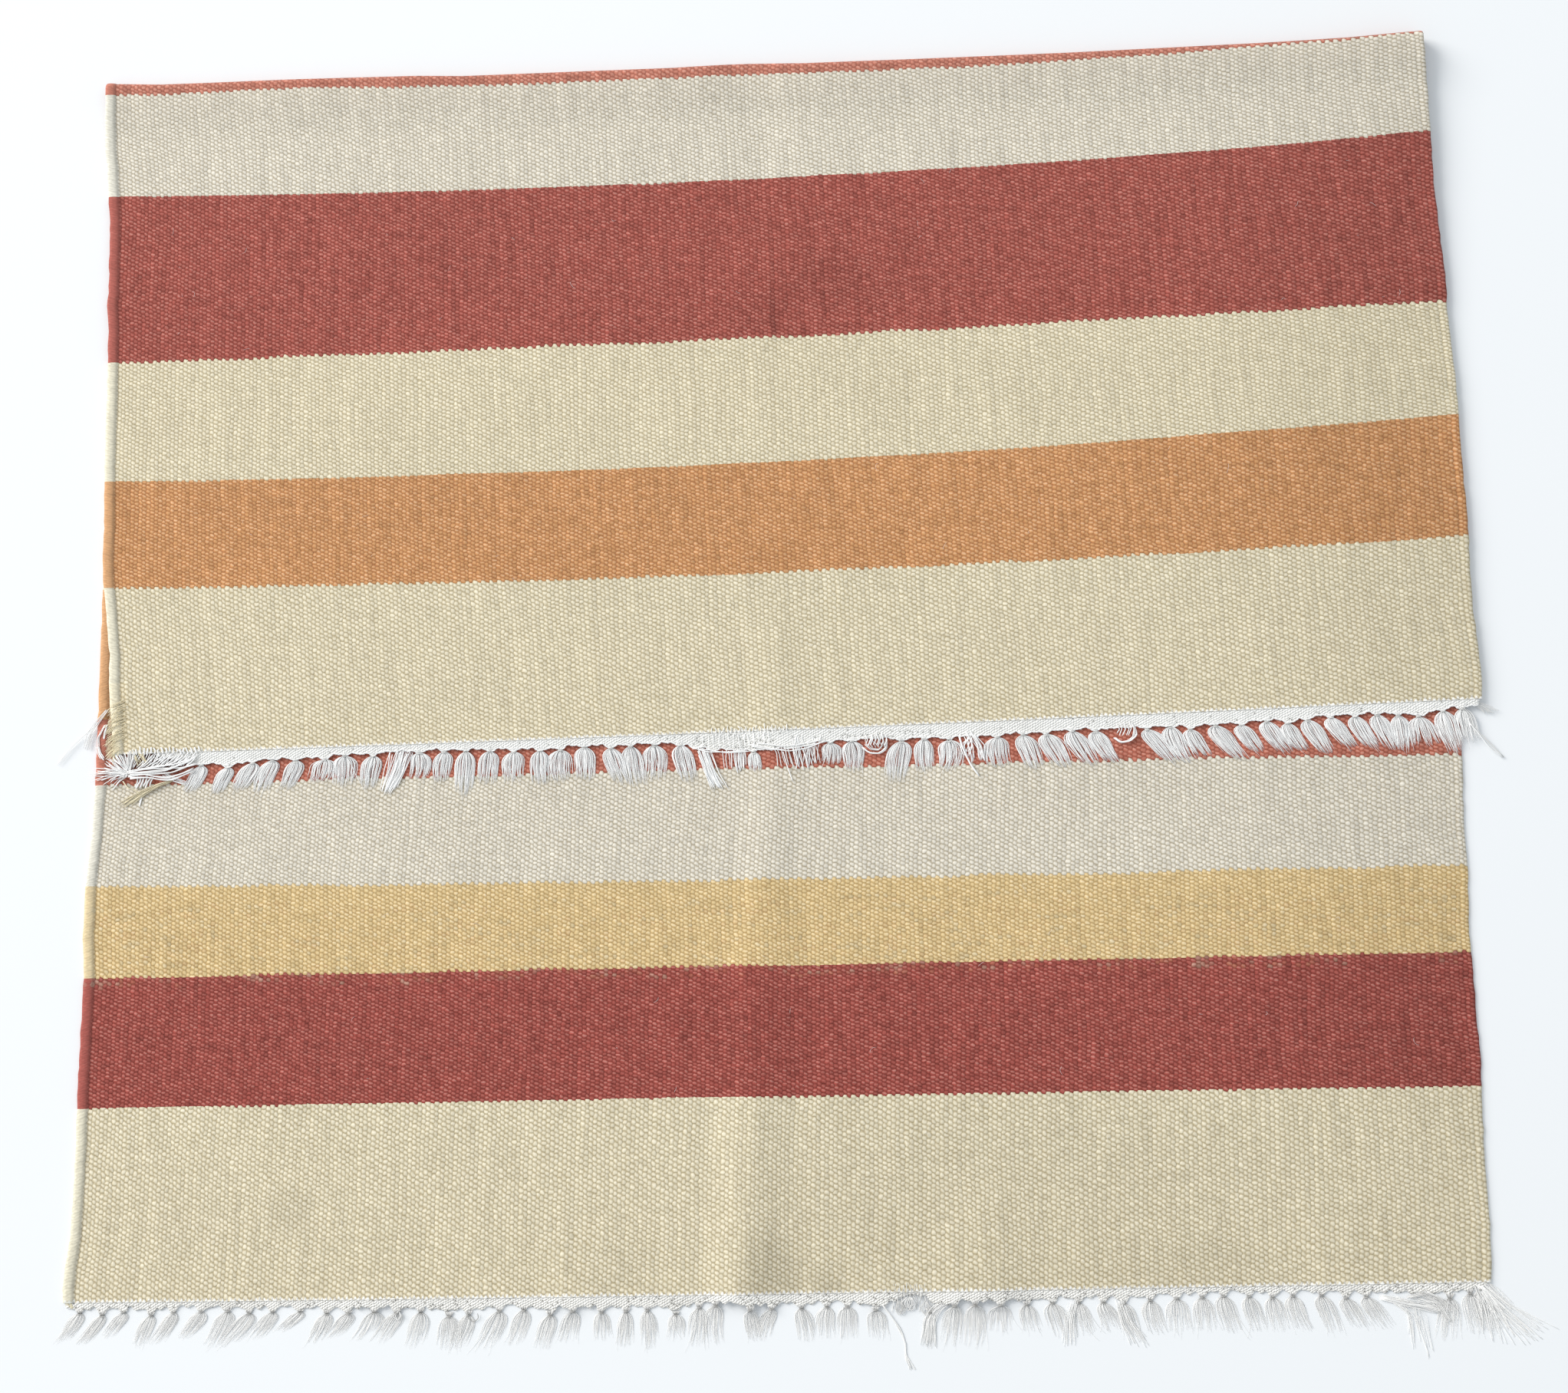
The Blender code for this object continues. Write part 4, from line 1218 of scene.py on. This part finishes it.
FAR_THREADS = [
    # The unravelled corner on the left: a knotted bunch that fans out to the left and up,
    *bundle(34, 0.42, 0.0, (-665, 20, 4, 3), (-676, 19, 6, 9), (-690, 19, 1.5, 17)),
    *bundle(22, 0.42, 0.0, (-665, 19, 5, 3), (-672, 13, 7, 8), (-681, 6, 5, 9)),
    *bundle(16, 0.40, 0.0, (-665, 18, 5, 3), (-669, 8, 7, 5), (-675, -1, 6, 6)),
    *bundle(16, 0.40, 0.05, (-664, 17, 5, 3), (-662, 7, 7, 4), (-662, -3, 6, 5)),
    *bundle(5, 0.35, 0.0, (-666, 21, 3, 2), (-674, 26, 2, 3), (-681, 34, 0.5, 4)),
    *bundle(8, 0.45, 0.1, (-664, 19, 6, 1), (-666, 21, 7, 3), (-667, 24, 5, 2)),
    # single long threads that run from the bunch to the whole weave,
    *(thread for shift in (0, 1.3) for thread in [
        (0.62, 0.05, [(-665, 18 + shift, 5), (-650, 15 + shift, 5), (-630, 15.5, 4), (-610, 16, 4),
                      (-594, 11 + shift, 4)]),
        (0.60, 0.15, [(-664, 22 + shift, 4), (-648, 21, 5), (-640, 23, 4), (-625, 25 + shift, 4),
                      (-610, 22, 4), (-598, 16 + shift, 4)]),
        (0.58, 0.05, [(-664, 19.5, 5), (-645, 18.5 + shift, 5), (-625, 17 + shift, 5),
                      (-600, 8, 4)]),
        (0.66, 0.0, [(-662, 24 + shift, 4), (-645, 24, 4), (-632, 27, 3), (-620, 27 + shift, 3),
                     (-608, 23, 3), (-598, 18 + shift, 3)]),
        (0.60, 0.25, [(-662, 21, 5), (-640, 20 + shift, 4), (-620, 20.5, 4),
                      (-603, 13 + shift, 4)]),
        (0.58, 0.0, [(-655, 17, 4), (-636, 13 + shift, 5), (-618, 12, 4), (-600, 6 + shift, 4)]),
    ]),
    # the cut ends of the warps above and below them
    *bare_ends((-664, -592, 3.7), 0.75, 0.0, (0, -5, 4.6), (0.6, -2, 4.9), (1.2, 1.5, 4.2)),
    *bare_ends((-655, -595, 2.6), 0.55, 0.1, (0, 0, 4.2), (-4, 7, 3.8), (-9, 14, 2.5)),
    *bare_ends((-640, -592, 4.3), 0.60, 0.0, (0, 3, 4.2), (-7, 9, 4.2), (-16, 15, 3.5)),
    *bare_ends((-654, -636, 3.1), 0.85, 0.25, (0, 23, 2.5), (-2, 29, 1.5), (-5, 35, 0.5)),
    *bundle(4, 0.40, 0.0, (-650, 44, 1, 1), (-651, 48, 1, 1.5), (-652, 53, 0.5, 1.5)),
    *bundle(9, 0.40, 0.0, (-627, 21, 2, 3), (-618, 27, 2, 4), (-606, 31, 1, 4)),
    # and threads that hang over the left side
    *bundle(7, 0.50, 0.0, (-697, -9, 2, 2), (-695, -2, 2, 2), (-691, 4, 2, 3)),
    *bundle(4, 0.50, 0.0, (-688, -31, 5, 1), (-690, -24, 3, 1), (-691, -17, 2, 1.5)),
    *bundle(4, 0.45, 0.0, (-690, -31, 4, 1), (-697, -18, 2, 1), (-696, -8, 2, 1.5)),
    *bundle(6, 0.35, 0.4, (-688, -46, 5, 2), (-698, -34, 2, 3), (-706, -22, -1, 4),
            (-708, -8, -3, 5)),
    *bundle(3, 0.22, 0.4, (-697, -34, 0, 1), (-723, -9, -3, 3), (-737, 9, -3, 3)),
    # Bunches that were never knotted, or have slipped their knots
    *bundle(26, 0.48, 0.0, (-390, 7, 3, 10), (-394, 25, 3, 10), (-403, 46, 0.5, 7)),
    *bundle(12, 0.45, 0.0, (-380, 8, 3, 4), (-386, 24, 2, 4), (-395, 43, 0.5, 4)),
    *bundle(20, 0.50, 0.0, (-84, 17, 3, 8), (-77, 36, 3, 9), (-70, 54, 0.5, 9)),
    *bundle(12, 0.45, 0.0, (-78, 18, 3, 5), (-70, 40, 2, 5), (-61, 56, 0.5, 5)),
    *bare_ends((-62, -36, 2.9), 0.45, 0.1, (0, 18, 3.0), (0.5, 27, 2), (1, 36, 0.5)),
    *bare_ends((-10, 34, 3.6), 0.42, 0.3, (0, 18, 3.0), (2, 26, 2), (4, 35, 0.5)),
    *bundle(9, 0.50, 0.0, (-46, 16, 2, 7), (-45, 28, 2, 8), (-44, 39, 0.5, 7)),
    *bundle(18, 0.50, 0.0, (18, 9, 3, 17), (20, 24, 3, 16), (22, 37, 0.5, 14)),
    *bundle(14, 0.30, 0.0, (12, 10, 3, 4), (14, 17, 4, 6), (12, 23, 2, 5)),
    *bundle(14, 0.50, 0.0, (188, 12, 3, 7), (194, 24, 3, 9), (196, 38, 0.5, 9)),
    *bundle(12, 0.34, 0.5, (703, 4, 3, 3), (712, 7, 1, 5), (722, 12, -1, 8)),
    *bundle(5, 0.30, 0.6, (688, 7, 4, 4), (698, 20, 2, 3), (706, 34, 0, 2), (719, 48, -2, 2),
            (731, 61, -2, 2)),
    *bare_ends((84, 104, 2.6), 0.60, 0.1, (0, 8, 3.5), (1.5, 14, 4.5), (-1, 20, 3.0)),
    *bare_ends((85, 103, 3.3), 0.50, 0.5, (0, 9, 3.0), (-2, 15, 3.5), (1, 21, 2.0)),
    *bundle(4, 0.62, 0.1, (80, 21, 2, 1), (87, 27, 3, 1.5), (97, 28, 3, 1.5), (104, 23, 3, 1.5),
            (104, 13, 3, 1)),
    *bundle(3, 0.55, 0.4, (83, 18, 2, 1), (89, 23, 3, 1.5), (97, 24, 3, 1.5), (101, 18, 3, 1.5)),
    *bare_ends((339, 357, 3.1), 0.55, 0.2, (0, 8, 3.5), (1.5, 13, 4.5), (-1, 20, 3.0)),
    *bundle(4, 0.62, 0.05, (336, 22, 2, 1), (342, 27, 3, 1.5), (351, 26, 3, 1.5), (358, 20, 3, 1.5),
            (356, 11, 3, 1)),
    *loops(3, 0.45, 0.0, 190, 14, 7, 20),
    # Warps that stand out of the worn heading
    *bare_ends((-82, -14, 5.1), 0.45, 0.0, (0, 2, 3.8), (0.5, 8, 3.6), (1.0, 15, 3.2)),
    *bare_ends((-73, 4, 3.8), 0.40, 0.0, (0, -5, 4.6), (0, -2, 4.9), (0.3, 2, 4.4)),
    (0.55, 0.0, [(-95, 13, 3), (-79, 19, 3), (-55, 20, 3), (-37, 19, 3)]),
    (0.50, 0.0, [(-93, 15, 3), (-76, 17, 3), (-58, 21, 3), (-33, 20, 3)]),
    (0.55, 0.0, [(-35, 13, 3), (-15, 18, 3), (5, 22, 2), (25, 19, 3), (43, 12, 3)]),
    (0.50, 0.0, [(-33, 15, 3), (-12, 20, 3), (7, 19, 2), (27, 16, 3), (45, 13, 3)]),
    (0.50, 0.0, [(-28, 12, 3), (-5, 16, 3), (12, 16, 3), (40, 11, 3)]),
    (0.55, 0.0, [(-1, 22, 2), (3, 36, 1), (9, 53, 0.5)]),
    (1.00, 0.0, [(178, 14, 3), (180, 22, 3), (184, 32, 2), (190, 44, 1), (198, 55, 0)]),
    (0.50, 0.0, [(697, 24, 2), (705, 34, 2), (716, 50, 1), (731, 61, -2)]),
]
NEAR_THREADS = [
    *loops(3, 0.34, 0.1, -378, 11, 4, 10),
    (0.45, 0.75, [(-310, 13, 2), (-309, 19, 1), (-304, 23, 0.5), (-299, 19, 1), (-300, 14, 2)]),
    (0.34, 0.0, [(58, 13, 2), (55, 28, 1), (56, 43, 0)]),
    (0.60, 0.1, [(95, 10, 2), (103, 20, 1), (115, 36, 0), (119, 50, 0), (119, 61, 0),
                 (125, 73, 0)]),
    (0.55, 0.1, [(96, 11, 2), (105, 22, 1), (114, 38, 0), (120, 50, 0), (118, 62, 0),
                 (122, 70, 0)]),
    *bundle(8, 0.20, 0.0, (119, 60, 0.5, 1), (122, 66, 0.5, 2), (125, 73, 0.3, 5)),
    # Where the heading is torn: bare warps and tangled loops
    *bare_ends((107, 150, 3.3), 0.34, 0.20, (0, -8, 3.3), (1, 0, 2.8), (2, 8, 0.8)),
    *bare_ends((109, 148, 3.9), 0.30, 0.55, (0, -3, 3.4), (-2, 6, 2.2), (-3, 17, 0.4)),
    *bare_ends((104, 152, 4.7), 0.30, 0.05, (0, 3, 2.4), (3, 9, 2.0), (1, 19, 0.4)),
    *loops(6, 0.34, 0.15, 122, 4, 6, 14),
    *loops(4, 0.34, 0.45, 113, 8, 4, 14),
    *loops(4, 0.34, 0.35, 138, 8, 5, 16),
    *bundle(20, 0.32, 0.05, (166, 8, 2, 4), (150, 14, 3, 6), (143, 24, 2, 6), (142, 48, 0.4, 10)),
    *bundle(20, 0.32, 0.05, (586, 13, 2, 4), (612, 19, 3, 6), (645, 25, 1, 8)),
    *bundle(14, 0.24, 0.0, (600, 15, 2, 7), (618, 27, 2, 12), (622, 50, 0.3, 15)),
    *bundle(8, 0.24, 0.0, (600, 15, 2, 7), (620, 29, 2, 12), (628, 64, 0.3, 13)),
    *bundle(22, 0.28, 0.1, (622, 10, 2, 9), (640, 17, 3, 9), (652, 32, 1, 14)),
    *bundle(12, 0.30, 0.3, (612, 13, 3, 3), (630, 10, 3, 4), (652, 22, 1, 6)),
    *bundle(16, 0.28, 0.0, (330, 12, 2, 5), (336, 32, 2, 8), (350, 52, 0.3, 11)),
    *bundle(16, 0.26, 0.0, (284, 12, 2, 5), (279, 30, 2, 7), (280, 50, 0.3, 10)),
    *bundle(26, 0.30, 0.0, (684, 3, 2, 4), (704, 25, 2, 13), (736, 52, 0.3, 22)),
    *bundle(16, 0.28, 0.0, (680, 2, 2, 4), (692, 22, 2, 9), (700, 52, 0.3, 16)),
    *bundle(10, 0.26, 0.0, (690, 0, 2, 2), (700, 10, 1, 6), (712, 26, 0.3, 12)),
]
YARN_TAIL = [
    *bundle(14, 0.36, 0.2, (-621, 28, 2, 2), (-632, 31, 3, 2.5), (-642, 36, 3, 3.5),
            (-652, 41, 2, 5), (-668, 51, 0.6, 8)),
    *bundle(12, 0.32, 0.6, (-622, 29, 2, 2), (-634, 33, 2, 3), (-645, 38, 2, 5),
            (-663, 47, 0.6, 8)),
    *bundle(2, 0.45, 0.0, (-670, 27, 2, 0.5), (-665, 34, 3, 0.5), (-657, 37, 3, 0.5),
            (-651, 41, 3, 1)),
    *bundle(16, 0.50, 0.3, (-657, -1, 5, 5), (-653, 5, 6, 5), (-650, 11, 4, 6)),
    # The opened cord: tufts that curl outwards, one below the other
    *(thread for down in range(-50, 2, 2) for thread in bundle(
        11, 0.24, luck.uniform(0, 0.5),
        (-671 + luck.normal(0, 2), down - 6, 5.4, 3),
        (-678 + luck.normal(0, 1.5), down - 3, 7.0, 3),
        (-685 + luck.normal(0, 1.5), down + 4, 4.0, 4),
    )),
    *bundle(10, 0.36, 0.1, (-676, -2, 6, 3), (-679, 4, 5, 3), (-680, 10, 3, 2)),
]
CORD_TIP = bundle(16, 0.62, 0.1, (-702, -10, 2.6, 4), (-701, -3, 2.8, 5), (-699, 4, 1.4, 4))

# Each finish's second colour darkens what is tied, partly dirt and partly painted shade, and the
# darker loose threads
bright_ends = soft_cotton("bright_warp_ends", (1.0, 0.995, 0.985), (0.62, 0.61, 0.58), 0.03)
grey_ends = soft_cotton("greyed_warp_ends", (0.99, 0.977, 0.955), (0.26, 0.25, 0.23), 0.05)
tan_wool = soft_cotton("tan_weft_yarn", (0.90, 0.81, 0.58), (0.66, 0.55, 0.35), 0.12)

far_paths = tassel_paths(FAR_END, 52, 0.00046, 0.0024, 51)
far_fringe = spin("fringe_strands_far", bright_ends, 3, *far_paths, 0.35)
near_paths = tassel_paths(NEAR_END, 42, 0.00030, 0.0014, 52)
near_fringe = spin("fringe_strands_near", grey_ends, 3, *near_paths, 0.30)
fringe_parts = [
    spin("fringe_knots_far", bright_ends, 5, *knot_rings(FAR_END, 0.0023, 0.00040, 53)),
    spin("fringe_knots_near", grey_ends, 5, *knot_rings(NEAR_END, 0.0020, 0.00034, 54)),
    spin("hem_threads_far", bright_ends, 5, *twining(FAR_END, 0.00062, 55)),
    spin("loose_threads_far", bright_ends, 5, *lay_threads(FAR_END, FAR_THREADS)),
    spin("loose_threads_near", grey_ends, 5, *lay_threads(NEAR_END, NEAR_THREADS)),
    spin("weft_yarn_tail", tan_wool, 4, *lay_threads(FAR_END, YARN_TAIL), slot="wool_weft"),
    spin("cord_tip_near", tan_wool, 5, *lay_threads(NEAR_END, CORD_TIP), slot="wool_weft"),
]
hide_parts("fringe_far")
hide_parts("fringe_near")


# ---------------------------------------------------------------------------------------
# Lint. Stray white hairs of the fringe's cotton, and a few dark specks, lie all over the rug.
# Each is a thin curling tube just clear of the weave, held by nothing but the wool's nap.

HAIR_PLACES = 9
HAIR_ARCH = 0.0005
HAIR_CLEAR = 0.0002
LINT_X = 0.66
LINT_Y = (0.02, 1.24)
# The far fringe's middle, how far either side of it no hair may lie, and how far one is moved
FRINGE_BELOW_END = 0.025
FRINGE_CLEAR = 0.045
MOVED_NEARER = 0.11


def lay_hairs(count, radius, length, tone, seed):
    """Short curling hairs on what shows of both layers."""
    draw = np.random.default_rng(seed)
    x = draw.uniform(-LINT_X, LINT_X, count)
    y = draw.uniform(*LINT_Y, count)
    _, end_y = across(FAR_END, x)
    # None lie in the far fringe: those that would are moved nearer
    y = np.where(np.abs(y - end_y + FRINGE_BELOW_END) < FRINGE_CLEAR, y - MOVED_NEARER, y)
    angle = draw.uniform(0, 2 * np.pi, count)
    curl = draw.normal(0, 2.2, count)
    step = draw.uniform(0.35, 1.0, count) ** 2 * length / (HAIR_PLACES - 1)
    path = []
    for place in range(HAIR_PLACES):
        on_upper = y > end_y
        lift = np.where(on_upper, upper_lift(x, y), lower_lift(x, y))
        raised = HAIR_ARCH * math.sin(math.pi * place / (HAIR_PLACES - 1)) + HAIR_CLEAR
        path.append(np.stack([x, y, lift + CLOTH_THICK + radius + raised], -1))
        x, y = x + step * np.cos(angle), y + step * np.sin(angle)
        angle = angle + curl / HAIR_PLACES + draw.normal(0, 0.25, count)
    along = np.linspace(0, 1, HAIR_PLACES)
    taper = np.interp(np.arange(HAIR_PLACES), (0, 1, 7, 8), (0.5, 1, 1, 0.5))
    kept = [draw.uniform(0, 1, (count, 1)), along, tone]
    return np.stack(path, 1), radius * taper, kept


lint_cotton = soft_cotton("lint", (0.92, 0.91, 0.89), (0.12, 0.10, 0.085), 0.05)
fringe_parts += [
    spin("lint_hairs", lint_cotton, 3, *lay_hairs(170, 0.00012, 0.011, 0.0, 61)),
    spin("lint_specks", lint_cotton, 3, *lay_hairs(40, 0.00017, 0.0022, 1.0, 62)),
]


# ---------------------------------------------------------------------------------------
# The surface it lies on, the light and the camera. A plain pale floor, a large soft light
# from the left, and a camera almost straight above.

FLOOR_COLOUR = (0.90, 0.915, 0.93, 1)
FLOOR_REACH = 6.0
SKY_COLOUR = (0.90, 0.955, 1.0, 1)
SKY_STRENGTH = 0.66
CAMERA_HEIGHT = 2.20
CAMERA_TILT = 8.5
CAMERA_Y = 0.264


def make_floor():
    """The plain surface under the rug, which is no part of it."""
    material = bpy.data.materials.new("pale_floor")
    material.use_nodes = True
    shader = material.node_tree.nodes["Principled BSDF"]
    shader.inputs["Base Color"].default_value = FLOOR_COLOUR
    shader.inputs["Roughness"].default_value = 0.9
    mesh = bpy.data.meshes.new("floor")
    signs = (-1, -1), (1, -1), (1, 1), (-1, 1)
    corners = [(FLOOR_REACH * x, FLOOR_REACH * y, 0) for x, y in signs]
    mesh.from_pydata(corners, [], [(0, 1, 2, 3)])
    mesh.materials.append(material)
    floor = bpy.data.objects.new("floor", mesh)
    bpy.context.scene.collection.objects.link(floor)


def soft_light(name, place, size, power, colour):
    """A square area light that faces the middle of the rug."""
    light = bpy.data.lights.new(name, "AREA")
    light.shape = "SQUARE"
    light.size, light.energy, light.color = size, power, colour
    lamp = bpy.data.objects.new(name, light)
    lamp.location = place
    lamp.rotation_euler = (-lamp.location).to_track_quat("-Z", "Y").to_euler()
    bpy.context.scene.collection.objects.link(lamp)


make_floor()
soft_light("window", (-12.3, 7.1, 7.5), 9.0, 2600, (1.0, 0.975, 0.94))
world = bpy.data.worlds.new("room")
world.use_nodes = True
sky = world.node_tree.nodes["Background"]
sky.inputs["Color"].default_value = SKY_COLOUR
sky.inputs["Strength"].default_value = SKY_STRENGTH
bpy.context.scene.world = world
bpy.context.scene.view_settings.view_transform = "Standard"

lens = bpy.data.cameras.new("camera")
lens.lens, lens.sensor_width = 50, 36
camera = bpy.data.objects.new("camera", lens)
camera.location = (to_frame[0], to_frame[1] + CAMERA_Y, CAMERA_HEIGHT)
camera.rotation_euler = (math.radians(CAMERA_TILT), 0, 0)
bpy.context.scene.collection.objects.link(camera)
bpy.context.scene.camera = camera
